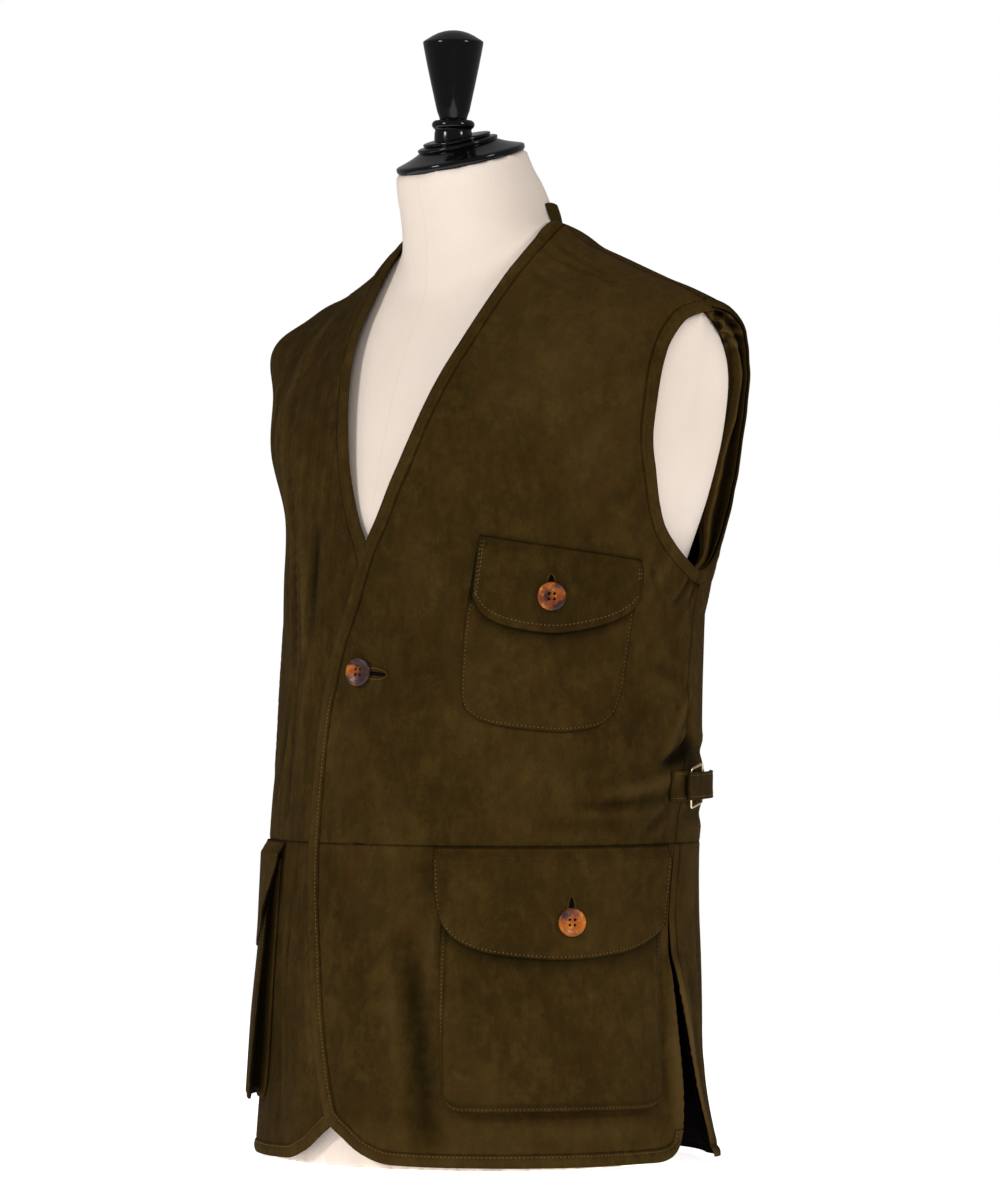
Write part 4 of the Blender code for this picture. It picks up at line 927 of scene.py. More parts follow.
FRONT_COLUMNS = 13
SIDE_ROWS = 7
SHOULDER_LEVELS = (474, 488, 514, 549, 585, 620, 651, 680, 704, 725, 742, 756, 768.5, 779.75)
SPLIT = 466.0
EDGE_GAP = 0.15
RIDGE_EDGE = SHOULDER_LEVELS[-1]
SIDE_GAP_DEGREES = 0.06
SKIRT_ROWS = 8
SKIRT_COLUMNS = 15
FRONT_LINES = (84, 170)
SKIRT_LINES = (100, 62)


def front_edge_path(side):
    """Neckline, front edge, curved corner and hem of a front, from the neck point to the vent."""
    down = path_of(FRONT_EDGE, "left" if side > 0 else "right")
    path = smooth_path(np.concatenate([down, path_of(HEM_RUN)]))
    path[0, 1] = RIDGE_EDGE
    return path


def band_width(path):
    """Width of the front band along its path: it narrows up the neckline and round the lower corner."""
    wide = along(BAND, "width", path[:, 1])
    hem_start = len(path) - PATH_STEPS * len(HEM_RUN["angle"])
    return wide + (HEM_BAND - wide) * soft(np.arange(len(path)), hem_start, hem_start + 4 * PATH_STEPS)


def row_at_height(path, height):
    """Row number at which a downward path crosses a height."""
    down = path[: int(np.argmin(path[:, 1])) + 1]
    return float(np.interp(-height, -down[:, 1], np.arange(len(down))))


def armhole_path():
    """The armhole of one side, from the shoulder down the front and up the back."""
    path = smooth_path(np.concatenate([
        path_of(ARMHOLE_FRONT), [(SIDE_SEAM, ARMHOLE_BOTTOM)], path_of(ARMHOLE_BACK)]))
    path[[0, -1], 1] = RIDGE_EDGE
    return path


arm_path = armhole_path()
arm_seam = inset(arm_path, -(ARM_FACING + ARM_SEAM))
arm_seam[[0, -1], 1] = RIDGE_EDGE
arm_widest = int(np.argmax(arm_seam[:, 0]))
arm_narrowest = int(np.argmin(arm_seam[:arm_widest, 0]))
arm_row = float(np.interp(SIDE_SEAM, arm_seam[arm_narrowest:arm_widest, 0],
                          np.arange(arm_narrowest, arm_widest)))
arm_low = int(np.argmin(arm_seam[:, 1]))
arm_front_rows = between(np.concatenate(
    [[arm_row], [row_at_height(arm_seam, level) for level in SHOULDER_LEVELS]]))
arm_back_rows = between(np.concatenate([[arm_row], np.interp(
    SHOULDER_LEVELS, arm_seam[arm_low:, 1], np.arange(arm_low, len(arm_seam)))]))


def side_and_arm(angle, rows, low):
    """Side seam and armhole seam of a panel, upwards from a height to the ridge."""
    arm = at_rows(arm_seam, rows)
    arm[0, 0] = angle
    side = resample([(angle, low), arm[0]], SIDE_ROWS * STEPS)
    return np.concatenate([side[:-1], arm])


front_paths = {}
front_seams = {}
front_rows = {}
for side, word in SIDES:
    path = front_edge_path(side)
    seam = inset(path, band_width(path) + SEAM)
    seam[0, 1] = RIDGE_EDGE
    split_row, waist_row = (row_at_height(seam, height) for height in (SPLIT, WAIST))
    corner_row = len(path) - 1 - PATH_STEPS * (len(HEM_RUN["angle"]) - 3)
    front_paths[side], front_seams[side] = path, seam
    neck_rows = [split_row] + [row_at_height(seam, level) for level in SHOULDER_LEVELS]
    front_rows[side] = [between(np.array(neck_rows))] + [
        between(stations(path, start, end, count)) for start, end, count in (
            (waist_row, split_row, SIDE_ROWS), (corner_row, waist_row, SKIRT_ROWS),
            (corner_row, len(path) - 1, SKIRT_COLUMNS))]


def strap_shade(grid):
    """Deep shade over the side strap, where the panel folds over it at the side seam."""
    gap = (np.abs(from_front(grid[..., 0]) - SIDE_SEAM) - 1.0) / 5.0
    return 1.25 * bell(np.clip(gap, 0, None), 1) * bell(grid[..., 1] - 327, 14.0)


def painted_front_light(side, grid):
    """Painted light and shade across a front: the left front lighter at its shoulder and hem, where more light
    falls;
    the right front darker all over, in long streaks, with a deep patch on the chest and more shade below the lap
    and the waist."""
    angle, height = grid[..., 0], grid[..., 1]
    if side > 0:
        return -0.20 * soft(height, 545, 650) - 0.18 * soft(height, 48, 24) * soft(angle, 110, 96)
    streaks = np.sin(1.9 * angle + 1.3 * np.sin(height / 41.0)) * np.sin(0.83 * angle + 2.0 + height / 90.0)
    chest = bell(angle - 20, 6.0) * bell(height - 455, 30.0)
    overlap = soft(angle, 30, 14) * soft(height, 240, 300) * soft(height, 520, 470)
    lower = 0.10 * soft(height, 262, 250) + 0.12 * bell(angle - 24, 9.0) * bell(height - 60, 34.0)
    return 0.06 + 0.15 * streaks + 0.24 * chest + 0.08 * overlap + lower


def front_upper(side, word):
    low = WAIST + EDGE_GAP
    seam = front_seams[side]
    neck_rows, chest_rows = front_rows[side][:2]
    left = np.concatenate([at_rows(seam, chest_rows)[:-1], at_rows(seam, neck_rows)])
    left[0, 1] = low
    right = side_and_arm(SIDE_SEAM - SIDE_GAP_DEGREES, arm_front_rows, low)
    grid = crowd_both(panel(left, right, FRONT_COLUMNS * STEPS), *FRONT_LINES)
    run = runs(grid)
    dip = seam_dip(run, SIDES_AND_LOW) - 0.25 * bell(run["high"], 1.5)
    # Painted shade along the seams and over the side strap, and painted light and shade across the front.
    marks_of_light_and_wear = edge_shade_and_highlight(run, ALL_EDGES) + strap_shade(grid) + painted_front_light(side, grid)
    cloth_piece("panel_front_" + word, "front_" + word, side, grid, lap(side, grid[..., 0]) + dip, "hung",
                "form_torso", marks_of_light_and_wear, inner=lining)


def front_skirt(side, word):
    high = WAIST - EDGE_GAP
    seam = front_seams[side]
    left = at_rows(seam, front_rows[side][2])
    left[-1, 1] = high
    vent = path_of(VENT, "front")
    vent[0] = (vent[0, 0] - SIDE_GAP_DEGREES, high)
    vent = smooth_path(vent)
    bottom = at_rows(seam, front_rows[side][3])
    bottom[-1, 1] = vent[-1, 1]
    bottom = np.concatenate([bottom, vent[-1:]])
    right = resample(vent[::-1], SKIRT_ROWS * STEPS)
    top = resample([left[-1], right[-1]], len(bottom) - 1)
    grid = crowd_both(fill(bottom, right, top, left), *SKIRT_LINES)
    run = runs(grid)
    sewn_down = ("left", "low", "high")
    dip = seam_dip(run, sewn_down) - 0.7 * bell(run["right"], 2.2)
    # Painted shade along the sewn edges, a painted highlight along the rolled vent edge, and painted light and
    # shade across the front.
    marks_of_light_and_wear = edge_shade_and_highlight(run, sewn_down) + edge_shade_and_highlight(run, ["right"], 2.0, -0.4) + painted_front_light(side, grid)
    cloth_piece("panel_skirt_" + word, "skirt_" + word, side, grid, lap(side, grid[..., 0]) + dip, "hung",
                "panel_front_" + word, marks_of_light_and_wear, inner=lining)


for side, word in SIDES:
    front_upper(side, word)
    front_skirt(side, word)

# Back: one suede panel above the waist seam and one below it, from side seam to side seam. It hangs straight
# from the shoulder blades, stands away at the armholes and swings out beside the vents.
VENT_BACK = {
    "height": (WAIST, 200, 180, 120, 60, 4),
    "angle":  (104.1, 104.15, 104.8, 108.0, 111.0, 112.5),
}
VENT_FLARE = {
    "height": (0, 30, 60, 120, 180, 204, 257),
    "out":    (25, 18, 12.6, 7.0, 1.6, 0.2, 0),
}
BACK_NECK = {
    "angle":  (150.0, 153.5, 160.0, 170.0, 180.0),
    "height": (780, 750, 727, 710, 705),
}
BACK_COLUMNS = 22
BACK_SKIRT_COLUMNS = 18
BACK_LINES = (132, 140)
BACK_SKIRT_LINES = (130, 62)
SHOULDER_COLUMNS = 8
VENT_TURN = 8.0
VENT_CROWN = 0.9


def vent_flare(grid):
    """How far the back and its lining stand away beside the vents."""
    return along(VENT_FLARE, "out", grid[..., 1]) * soft(from_front(grid[..., 0]), 134, 112)


def mirrored(edge):
    """The same edge on the wearer's right, its angles going on round the back."""
    return np.stack([360 - edge[:, 0], edge[:, 1]], -1)


def back_upper():
    left = side_and_arm(SIDE_SEAM + SIDE_GAP_DEGREES, arm_back_rows, WAIST + EDGE_GAP)
    right = mirrored(left)
    shoulder = resample([left[-1], neck_half[0]], SHOULDER_COLUMNS * STEPS)
    neck_rows = stations(neck_half, 0, len(neck_half) - 1, (BACK_COLUMNS // 2 - SHOULDER_COLUMNS) * STEPS)
    half = np.concatenate([shoulder[:-1], at_rows(neck_half, neck_rows)])
    top = np.concatenate([half, mirrored(half)[::-1][1:]])
    bottom = resample([left[0], right[0]], BACK_COLUMNS * STEPS)
    grid = crowd_both(fill(bottom, right, top, left), *BACK_LINES)
    run = runs(grid)
    dip = seam_dip(run, SIDES_AND_LOW) - 0.25 * bell(run["high"], 1.5)
    # Painted shade along the seams and over the side straps.
    cloth_piece("panel_back", "back", 1, grid, dip, "hung", "form_torso",
                edge_shade_and_highlight(run, ALL_EDGES) + strap_shade(grid), inner=lining)


def back_skirt():
    down = path_of(VENT_BACK)
    down[0] = (SIDE_SEAM + SIDE_GAP_DEGREES, WAIST - EDGE_GAP)
    left = resample(smooth_path(down[::-1]), SKIRT_ROWS * STEPS)
    grid = crowd_both(panel(left, mirrored(left), BACK_SKIRT_COLUMNS * STEPS), *BACK_SKIRT_LINES)
    run = runs(grid)
    dip = seam_dip(run, ["high"]) + VENT_CROWN * (beside(run, SIDES_AND_LOW, 3.0, VENT_TURN / 2)
                                                  - 0.9 * beside(run, SIDES_AND_LOW, 0.9, VENT_TURN))
    # Painted shade along the waist seam and at the inner edge of the turned facing at the vents and hem, and a
    # painted highlight along the rolled edges.
    marks_of_light_and_wear = (edge_shade_and_highlight(run, ["high"]) + 0.7 * beside(run, SIDES_AND_LOW, 0.8, VENT_TURN)
            - 0.35 * beside(run, SIDES_AND_LOW, 3.0))
    cloth_piece("panel_back_skirt", "back_skirt", 1, grid, vent_flare(grid) + dip, "hung", "panel_back", marks_of_light_and_wear,
                inner=lining)


neck_half = smooth_path(path_of(BACK_NECK))
neck_half[0, 1] = RIDGE_EDGE
back_upper()
back_skirt()

# Lining: black twill inside the back, which shows in the vents and in the armholes, hemmed by hand at its
# lower edge.
LINING_WALL = 1.0
LINING_UNDER = -3.8
LINING_TOP = 640.0
LINING_HEM = 14.0
LINING_EDGE = 1.5
LINING_ROWS = 100
LINING_COLUMNS = 92


def back_lining():
    low = path_of(VENT_BACK)[::-1]
    low[0] = (low[0, 0], LINING_HEM)
    arm = at_rows(arm_seam, arm_back_rows)
    high = arm[arm[:, 1] < LINING_TOP]
    end = (np.interp(LINING_TOP, arm[:, 1], arm[:, 0]), LINING_TOP)
    left = np.concatenate([low, high, [end]])
    left[:, 0] += LINING_EDGE
    left = resample(left, LINING_ROWS)
    grid = panel(left, mirrored(left), LINING_COLUMNS)
    rumple = 0.5 * np.sin(grid[..., 1] / 9.0 + np.sin(grid[..., 0] / 4.0)) * soft(runs(grid)["left"], 26, 6)
    cloth_piece("lining_back", "back_lining", 1, grid, LINING_UNDER + vent_flare(grid) + rumple, "hung",
                "panel_back", look=lining, slot="lining", wall=LINING_WALL)


back_lining()

# Armhole inner facings: a loose strip of thinner suede sewn to the back edge of each armhole and turned to
# the inside, where it has folded on itself and bunched up below the shoulder.
RIBBON = {
    "height": (486, 520, 560, 600, 640, 672, 700, 730, 762, 780),
    "fold":   (6, 12, 12, 6.5, 5, 8, 10, 9, 6, 1.2),
    "deep":   (11, 21, 21.5, 18, 18.5, 17, 17, 15, 10, 2.2),
}
RIBBON_WALL = 1.0
RIBBON_UNDER = 0.8
RIBBON_BEHIND = 7.0
RIBBON_SLOPE = 4.5
RIBBON_STEPS = 190
# Waves along the strip: each its height, its length and how far it slants across
RIBBON_TWIST = ((1.2, 11.0, 2.5), (0.8, 5.3, 4))
RIBBON_KNOTS = ((2.9, 3.6, 5), (1.5, 2.1, -3))


def inner_facing(side, word):
    rows = stations(arm_path, int(np.argmin(arm_path[:, 1])), len(arm_path) - 1, RIBBON_STEPS)
    angle, height = at_rows(arm_path, rows).T
    fold, deep = (along(RIBBON, column, height)[None] for column in ("fold", "deep"))
    place = skin(side * angle, height, -RIBBON_UNDER)
    out = normals(cloth, side * angle, height)
    ahead = np.gradient(place, axis=0)
    run = np.linalg.norm(ahead, axis=1).cumsum()
    behind = side * np.cross(unit(ahead), out)
    bunched = soft(height, 655, 690) * soft(height, 772, 745)
    near = np.linspace(0, 1, 9)[:, None]
    far = np.linspace(0, 1, 13)[1:, None]
    inward = np.concatenate([1 + (fold - 1) * near, fold + (deep - fold) * far])
    back = np.concatenate([RIBBON_BEHIND * np.sin(np.pi * near) + 0 * fold,
                           RIBBON_SLOPE * far ** 1.4 + 0 * fold])
    across = np.linspace(0, 1, len(inward))[:, None]
    middle = np.sin(np.pi * across)
    twist, knots = (sum(high * np.sin(run / length + slant * across) for high, length, slant in waves)
                    for waves in (RIBBON_TWIST, RIBBON_KNOTS))
    rumpled = bunched * (2.4 + knots * (0.2 + 0.8 * middle))
    back = np.maximum(back + across * (twist + rumpled), 0.5 * middle + 0.2)
    inward = inward + middle * bunched * 2.4 * np.sin(run / 3.0 + 1)
    points = place[None] - out[None] * inward[..., None] + behind[None] * back[..., None]
    # Painted shade down in the recess behind the fold and towards the inner edge, and painted highlights on the
    # fold's ridge and on the bunched knots.
    painted_light_and_wear = np.concatenate([0.45 + 0.60 * np.sin(np.pi * near) + 0 * fold,
                             0.10 + 0.45 * far + 0.45 * bell(far - 0.62, 0.10) + 0 * fold])
    painted_light_and_wear = painted_light_and_wear - bell(inward - fold, 1.3) - bunched * (0.21 * knots + 0.45)
    cut_piece("facing_inside_" + word, [], points, painted_light_and_wear, "folded", ["panel_back"], wall=RIBBON_WALL,
              offset=0.0, rim=0.3)


for side, word in SIDES:
    inner_facing(side, word)

# Bands and facings: a strip of the same suede folded double over each raw edge. One runs round the neckline,
# down the front and along the hem, and one round each armhole, crowned between its edges.
BAND_LINES = np.concatenate([np.linspace(0, 0.12, 4), np.linspace(0.2, 0.8, 9), np.linspace(0.88, 1, 4)])
BAND_CROWN = 1.4
ARM_CROWN = 1.2


def strip(path, rows, width):
    """Grid of a band between its edge and its seam, its lines closer at both."""
    edge = at_rows(path, rows)
    seam = at_rows(inset(path, width), rows)
    seam[:, 1] = np.minimum(seam[:, 1], RIDGE_EDGE)
    share = BAND_LINES[:, None, None]
    return (1 - share) * edge[None] + share * seam[None]


def crowned(grid, height):
    """Relief of a strip: round across, with long soft dents that a doubled strip takes when it bends."""
    share = BAND_LINES[:, None]
    length = runs(grid)["left"]
    uneven = 1 + 0.25 * np.sin(length / 17.0 + 2 * np.sin(length / 61.0))
    ends = soft(length, 0, 9) * soft(length[:, -1:] - length, 0, 9)
    return (height * np.sin(np.pi * share) ** 0.7 * uneven - 0.5 * bell(1 - share, 0.1)) * ends


def strip_painted_light():
    """Painted shade down in a strip's seam and a painted highlight along its crown."""
    share = BAND_LINES[:, None]
    return 0.95 * bell(1 - share, 0.09) - 0.16 * bell(share - 0.35, 0.3) - 0.18 * bell(share - 0.80, 0.06)


def front_band(side, word):
    neck, chest, skirt, hem = front_rows[side]
    rows = np.concatenate([neck[::-1], chest[::-1][1:], skirt[::-1][1:], hem[1:]])
    grid = strip(front_paths[side], rows, band_width(front_paths[side]))
    grid[:, 0, 1] = RIDGE_EDGE
    grid[:, -1, 1] = BAND_END
    # Painted shade down in the band's seam and a painted highlight along its crown.
    cloth_piece("strip_front_" + word, "band_" + word, side, grid,
                lap(side, grid[..., 0]) + crowned(grid, BAND_CROWN), "hung", "panel_front_" + word, strip_painted_light())
    return grid


def arm_facing(side, word):
    rows = np.concatenate([arm_front_rows[::-1], arm_back_rows[1:]])
    grid = strip(arm_path, rows, -ARM_FACING)[::-1]
    grid[:, [0, -1], 1] = RIDGE_EDGE
    # Painted shade down in the facing's seam and a painted highlight along its crown, with painted shade over
    # its back part, which turns away from the light.
    cloth_piece("strip_armhole_" + word, "armhole_facing_" + word, side, grid,
                crowned(grid[::-1], ARM_CROWN)[::-1], "hung", "panel_front_" + word,
                strip_painted_light()[::-1] + 0.55 * soft(grid[..., 0], 105, 111))


band_grids = {}
for side, word in SIDES:
    band_grids[side] = front_band(side, word)
    arm_facing(side, word)

# Neck stand: a low standing strip of suede sewn to the back neck seam, which leans in to the neck of the
# form.
STAND_HEIGHT = 24.0
STAND_LOWER = 9.0
STAND_LEAN = 7.0
STAND_STEPS = 64
STAND_ROWS = 9
STAND_FROM_SEAM = 2.2
STAND_TUCK = 1.6


def neck_stand():
    edge = inset(neck_half, STAND_FROM_SEAM)
    edge[-1, 0] = 180.0
    angle, height = resample(edge, STAND_STEPS).T
    foot, out = cloth(angle, height), normals(cloth, angle, height)
    low = foot + out * WALL / 2
    share = np.linspace(1, 0, STAND_STEPS + 1)[:, None]
    inward = unit(low * (-1, -1, 0) + (0, NECK["depth"][2], 0))
    high = low + (0, 0, 1) * (STAND_HEIGHT - STAND_LOWER * share) + inward * STAND_LEAN * share
    up = np.linspace(0, 1, STAND_ROWS)[:, None, None]
    waves = 0.25 * np.sin(np.arange(STAND_STEPS + 1) / 3.1)[None, :, None] * np.sin(np.pi * up)
    rows = low[None] * (1 - up) + high[None] * up - inward[None] * (0.5 * np.sin(np.pi * up) + waves)
    rows = np.concatenate([(foot - (out + inward) * STAND_TUCK)[None], rows])
    # Painted shade along the foot of the stand, where it tucks into the neck seam.
    marks_of_light_and_wear = np.zeros(STAND_ROWS + 1)
    marks_of_light_and_wear[:3] = (1.0, 0.9, 0.25)
    points = np.concatenate([rows, (rows * (-1, 1, 1))[:, ::-1][:, 1:]], 1)
    marks_of_light_and_wear = np.broadcast_to(marks_of_light_and_wear[:, None], points.shape[:2])
    cut_piece("strip_neck_stand", ["neck_stand"], points, marks_of_light_and_wear, "hung", ["panel_back"], inner=lining, offset=0.0)


neck_stand()

# Chest pocket: a plain patch with rounded lower corners on the wearer's left, topstitched all round, under a
# curved flap that is sewn down along its top and closed by a button.
TRIM_WALL = 1.4
ON_PANEL = WALL + 0.5
CHEST_LEFT = ((37.6, 366), (36.2, 384), (36.0, 425), (38.0, 491))
CHEST_FLOOR = ((37.6, 366), (43, 356), (53, 350.5), (63.6, 348), (72, 351), (77.2, 361))
CHEST_RIGHT = ((77.2, 361), (79.4, 384), (80.4, 436), (81.0, 471))
CHEST_FLAP_LEFT = ((38.0, 455), (38.8, 504))
CHEST_FLAP_FLOOR = ((38.0, 455), (41, 441), (48, 431), (59.5, 426), (70, 431), (78, 441), (81.3, 452))
CHEST_FLAP_RIGHT = ((81.3, 452), (81.5, 484))
CHEST_PUFF = 1.5
FLAP_CLEAR = 2.3
CHEST_FLAP_ROW = 6.2
POCKET_STEPS = 60


def patch(left, floor, right):
    """Grid of a piece with straight sides and a curved floor."""
    low, one, other = (resample(smooth_path(path), POCKET_STEPS) for path in (floor, left, right))
    high = resample([one[-1], other[-1]], POCKET_STEPS)
    return crowd_both(fill(low, other, high, one), POCKET_STEPS, POCKET_STEPS)


def rises(run):
    """0 at the edges of a piece and 1 in its middle."""
    across, up = (run[start] / (run[start] + run[end]) for start, end in (("left", "right"), ("low", "high")))
    return np.sqrt(np.clip(np.sin(np.pi * across) * np.sin(np.pi * up), 0, 1))


def painted_flap_shadow(grid, floor, reach=7.0):
    """Painted shadow on a pocket close below its flap's edge, and as dark everywhere above it."""
    edge = np.interp(grid[..., 0], *np.array(floor, float).T)
    return 0.75 * np.exp(-(np.clip(edge - grid[..., 1], 0, None) / reach) ** 1.5)


def from_rim(run):
    """Millimetres to the nearest of a pocket's or flap's free edges."""
    return np.min([run[edge] for edge in SIDES_AND_LOW], axis=0)


def trimmed(name, node, side, grid, run, out, held, on, marks_of_light_and_wear, stitched=SIDES_AND_LOW):
    """A doubled patch or flap, grooved along its stitches: painted shade where its rim turns down and along the
    groove, and a painted highlight just inside the rim.
    Returns the grid and how far it lies off the cloth, for the sewing."""
    line = np.clip(beside(run, stitched, 0.7, STITCH_IN), 0, 1)
    out = out - 0.3 * line
    rim = from_rim(run)
    # Painted shade where the rim turns down and along the stitch groove, and a painted highlight just inside the
    # rim.
    marks_of_light_and_wear = marks_of_light_and_wear + 0.9 * bell(rim, 0.8) - 0.12 * bell(rim - 1.5, 0.7) + 0.55 * line
    cloth_piece(name, node, side, grid, out, held, on, marks_of_light_and_wear, wall=TRIM_WALL)
    return grid, out


grid = patch(CHEST_LEFT, CHEST_FLOOR, CHEST_RIGHT)
run = runs(grid)
# Painted shadow on the pocket below the flap's edge.
chest = trimmed("patch_chest_pocket", "chest_pocket", 1, grid, run,
                ON_PANEL + CHEST_PUFF * rises(run) + seam_dip(run, SIDES_AND_LOW, 0.35, 0.15), "laid",
                "panel_front_left", painted_flap_shadow(grid, CHEST_FLAP_FLOOR))
grid = patch(CHEST_FLAP_LEFT, CHEST_FLAP_FLOOR, CHEST_FLAP_RIGHT)
run = runs(grid)
out = (ON_PANEL + (FLAP_CLEAR + CHEST_PUFF) * soft(grid[-1:, :, 1] - grid[..., 1], 0, 11) + 0.5 * rises(run)
       + seam_dip(run, SIDES_AND_LOW, 0.25, 0.1))
# Painted shade along the flap's sewn top edge; the whole flap is also a little darker.
chest_flap = trimmed("flap_chest_pocket", "chest_flap", 1, grid, run, out, "hung", "panel_front_left",
                     0.16 + 0.9 * bell(run["high"], 1.0), ("left", "right"))

# Bellows pockets: on each skirt a patch stands off on a gusset folded in like a bellows, topstitched along
# its edges, under a deep flap that comes out of the waist seam and is closed by a button.
LOW_LEFT = ((37.6, 62), (36.7, 104), (35.3, 198), (34.3, 243))
LOW_FLOOR = ((37.6, 62), (39, 52), (43, 47), (68.7, 47), (92, 46), (97.5, 50), (99.5, 60))
LOW_RIGHT = ((99.5, 60), (99.0, 120), (98.5, 200), (98.5, 243))
FLAP_LEFT = ((35.3, 198.6), (33.6, 215), (31.8, 255.8))
FLAP_FLOOR = ((35.3, 198.6), (40, 183), (50, 172), (67.9, 167.4), (84, 172), (95, 183), (99.6, 193))
FLAP_RIGHT = ((99.6, 193), (100.3, 225), (100.5, 255.8))
STAND_TOP = 4.5
STAND_MORE = 6.0
FLAP_OVER = 2.3
GUSSET_WALL = 1.2
GUSSET_FOLD = 5.0
GUSSET_IN = 1.5
GUSSET_CLEAR = 0.8
GUSSET_FOOT = 0.9
GUSSET_ROWS = 13
GUSSET_SIDE_ROWS = 7
GUSSET_FLOOR_ROWS = 12
GUSSET_SPRUNG = 1.7
FLAP_ROW = 8.0
PROUD_EDGE = 8.0
PROUD_ALONG = 26.0
PROUD_FLAP = 1.15


def pocket_stand(height):
    """How far inside the pocket wall is from the vest: it opens out towards its floor."""
    return STAND_TOP + STAND_MORE * soft(height, 240, 60)


def flap_out(below, height):
    rise = STAND_TOP + FLAP_OVER - ON_PANEL
    return ON_PANEL + rise * soft(below, 0, 11) + pocket_stand(height) - STAND_TOP


def lean_out(side, run_left, height):
    """How much more the wearer's right pocket and flap stand off at their sprung front edge."""
    if side > 0:
        return 0.0 * run_left
    return PROUD_EDGE * np.exp(-run_left / PROUD_ALONG) * soft(WAIST - height, 6, 60)


def gusset(side, word):
    down, floor, rise = (resample(path, count * STEPS) for path, count in (
        (smooth_path(LOW_LEFT)[::-1], GUSSET_SIDE_ROWS), (smooth_path(LOW_FLOOR), GUSSET_FLOOR_ROWS),
        (smooth_path(LOW_RIGHT), GUSSET_SIDE_ROWS)))
    edge = np.concatenate([down[:-1], floor[:-1], rise])
    share = np.linspace(0, 1, GUSSET_ROWS)
    fold = GUSSET_FOLD * (GUSSET_SPRUNG if side < 0 else 1.0)
    rows = np.stack([inset(edge, GUSSET_IN + fold * math.sin(math.pi * part)) for part in share])
    angle, height = rows[-1].T
    behind = (angle - LOW_LEFT[0][0]).clip(0) * DEGREE
    top = pocket_stand(height) - GUSSET_CLEAR + lean_out(side, behind, height)
    base = ON_PANEL + GUSSET_FOOT
    # Painted shade over the gusset, deep in the bellows fold, fading to a little lighter at its foot.
    cloth_piece("gusset_low_" + word, "low_gusset_" + word, side, rows, base + (top - base) * share[:, None],
                "folded", "panel_skirt_" + word, 1.0 - 1.1 * soft(share, 0.30, 0.06)[:, None],
                wall=GUSSET_WALL, offset=0.0)


low_pockets = []
for side, word in SIDES:
    on = "panel_skirt_" + word
    grid = patch(LOW_LEFT, LOW_FLOOR, LOW_RIGHT)
    run = runs(grid)
    height, rim = grid[..., 1], from_rim(run)
    out = (pocket_stand(height) + 0.8 * rises(run) - 0.9 * soft(rim, 5.2, 2.6)
           + lean_out(side, run["left"], height) + seam_dip(run, SIDES_AND_LOW, 0.3, 0.15))
    # Painted shade along the groove a little inside the rim, and painted shadow below the flap's edge.
    pocket = trimmed("patch_low_" + word, "low_pocket_" + word, side, grid, run, out, "laid", on,
                     0.5 * bell(rim - 4.8, 0.9) + painted_flap_shadow(grid, FLAP_FLOOR, 9.0))
    gusset(side, word)
    grid = patch(FLAP_LEFT, FLAP_FLOOR, FLAP_RIGHT)
    run = runs(grid)
    height = grid[..., 1]
    out = (flap_out(height[-1:] - height, height) + 0.6 * rises(run)
           + seam_dip(run, SIDES_AND_LOW, 0.25, 0.12)
           + PROUD_FLAP * lean_out(side, run["left"], height) - 0.3 * bell(run["high"] - FLAP_ROW, 0.7))
    # Painted shade along the flap's top edge at the waist seam.
    flap = trimmed("flap_low_" + word, "low_flap_" + word, side, grid, run, out, "hung", on,
                   0.8 * bell(run["high"], 1.0))
    low_pockets.append((side, word, pocket, flap))

# Buttons: round, turned from tortoiseshell-coloured plate, dished inside a raised rim, with four holes, each
# button on a short shank of thread.
BUTTON_PROFILE = ((0, 2.3), (3.2, 2.33), (6.0, 2.5), (7.3, 2.85), (8.4, 3.3), (9.3, 3.42), (10.1, 3.3),
                  (10.9, 2.8), (11.3, 2.2), (11.4, 1.7), (11.3, 1.1), (10.9, 0.5), (10.1, 0.12), (9.3, 0),
                  (0, 0))
HOLE_RADIUS = 1.25
HOLE_SPACING = 2.1
BUTTON_GAP = 0.65
HOLE_STEPS = 20
HOLE_LENGTH = 12.0
HOLE_MIDDLE = 1.7
BUTTON_STEPS = 64
SHANK_RADIUS = 2.4
SHANK_LENGTH = 1.6
SHANK_STEPS = 16
SHANK_MIDDLE = 0.2
FLAP_BUTTON_OUT = flap_out(58.0, 197.5) + TRIM_WALL
BUTTONS = {
    "name":   ("button_front", "button_chest", "button_left", "button_right"),
    "side":   (1, 1, 1, -1),
    "angle":  (1.8, 58.1, 69.5, 69.5),
    "height": (394, 455.3, 197.5, 197.5),
    "under":  (LAP_LIFT + WALL, ON_PANEL + FLAP_CLEAR + CHEST_PUFF + TRIM_WALL, FLAP_BUTTON_OUT,
               FLAP_BUTTON_OUT),
    "lift":   (1.6, 0.8, 0.8, 0.8),
    "turned": (11, 0, 0, 0),
}


def facing(angle, height, out):
    """Matrix that sets a piece made along +Z on the vest, facing straight out, its +Y up the cloth."""
    at = skin(angle, height, out)
    normal = Vector(normals(cloth, np.array(float(angle)), np.array(float(height))))
    right = Vector((0, 0, 1)).cross(normal).normalized()
    up = normal.cross(right)
    turn = Matrix((right, up, normal)).transposed().to_4x4()
    return Matrix.Translation(Vector(at) * MM) @ turn


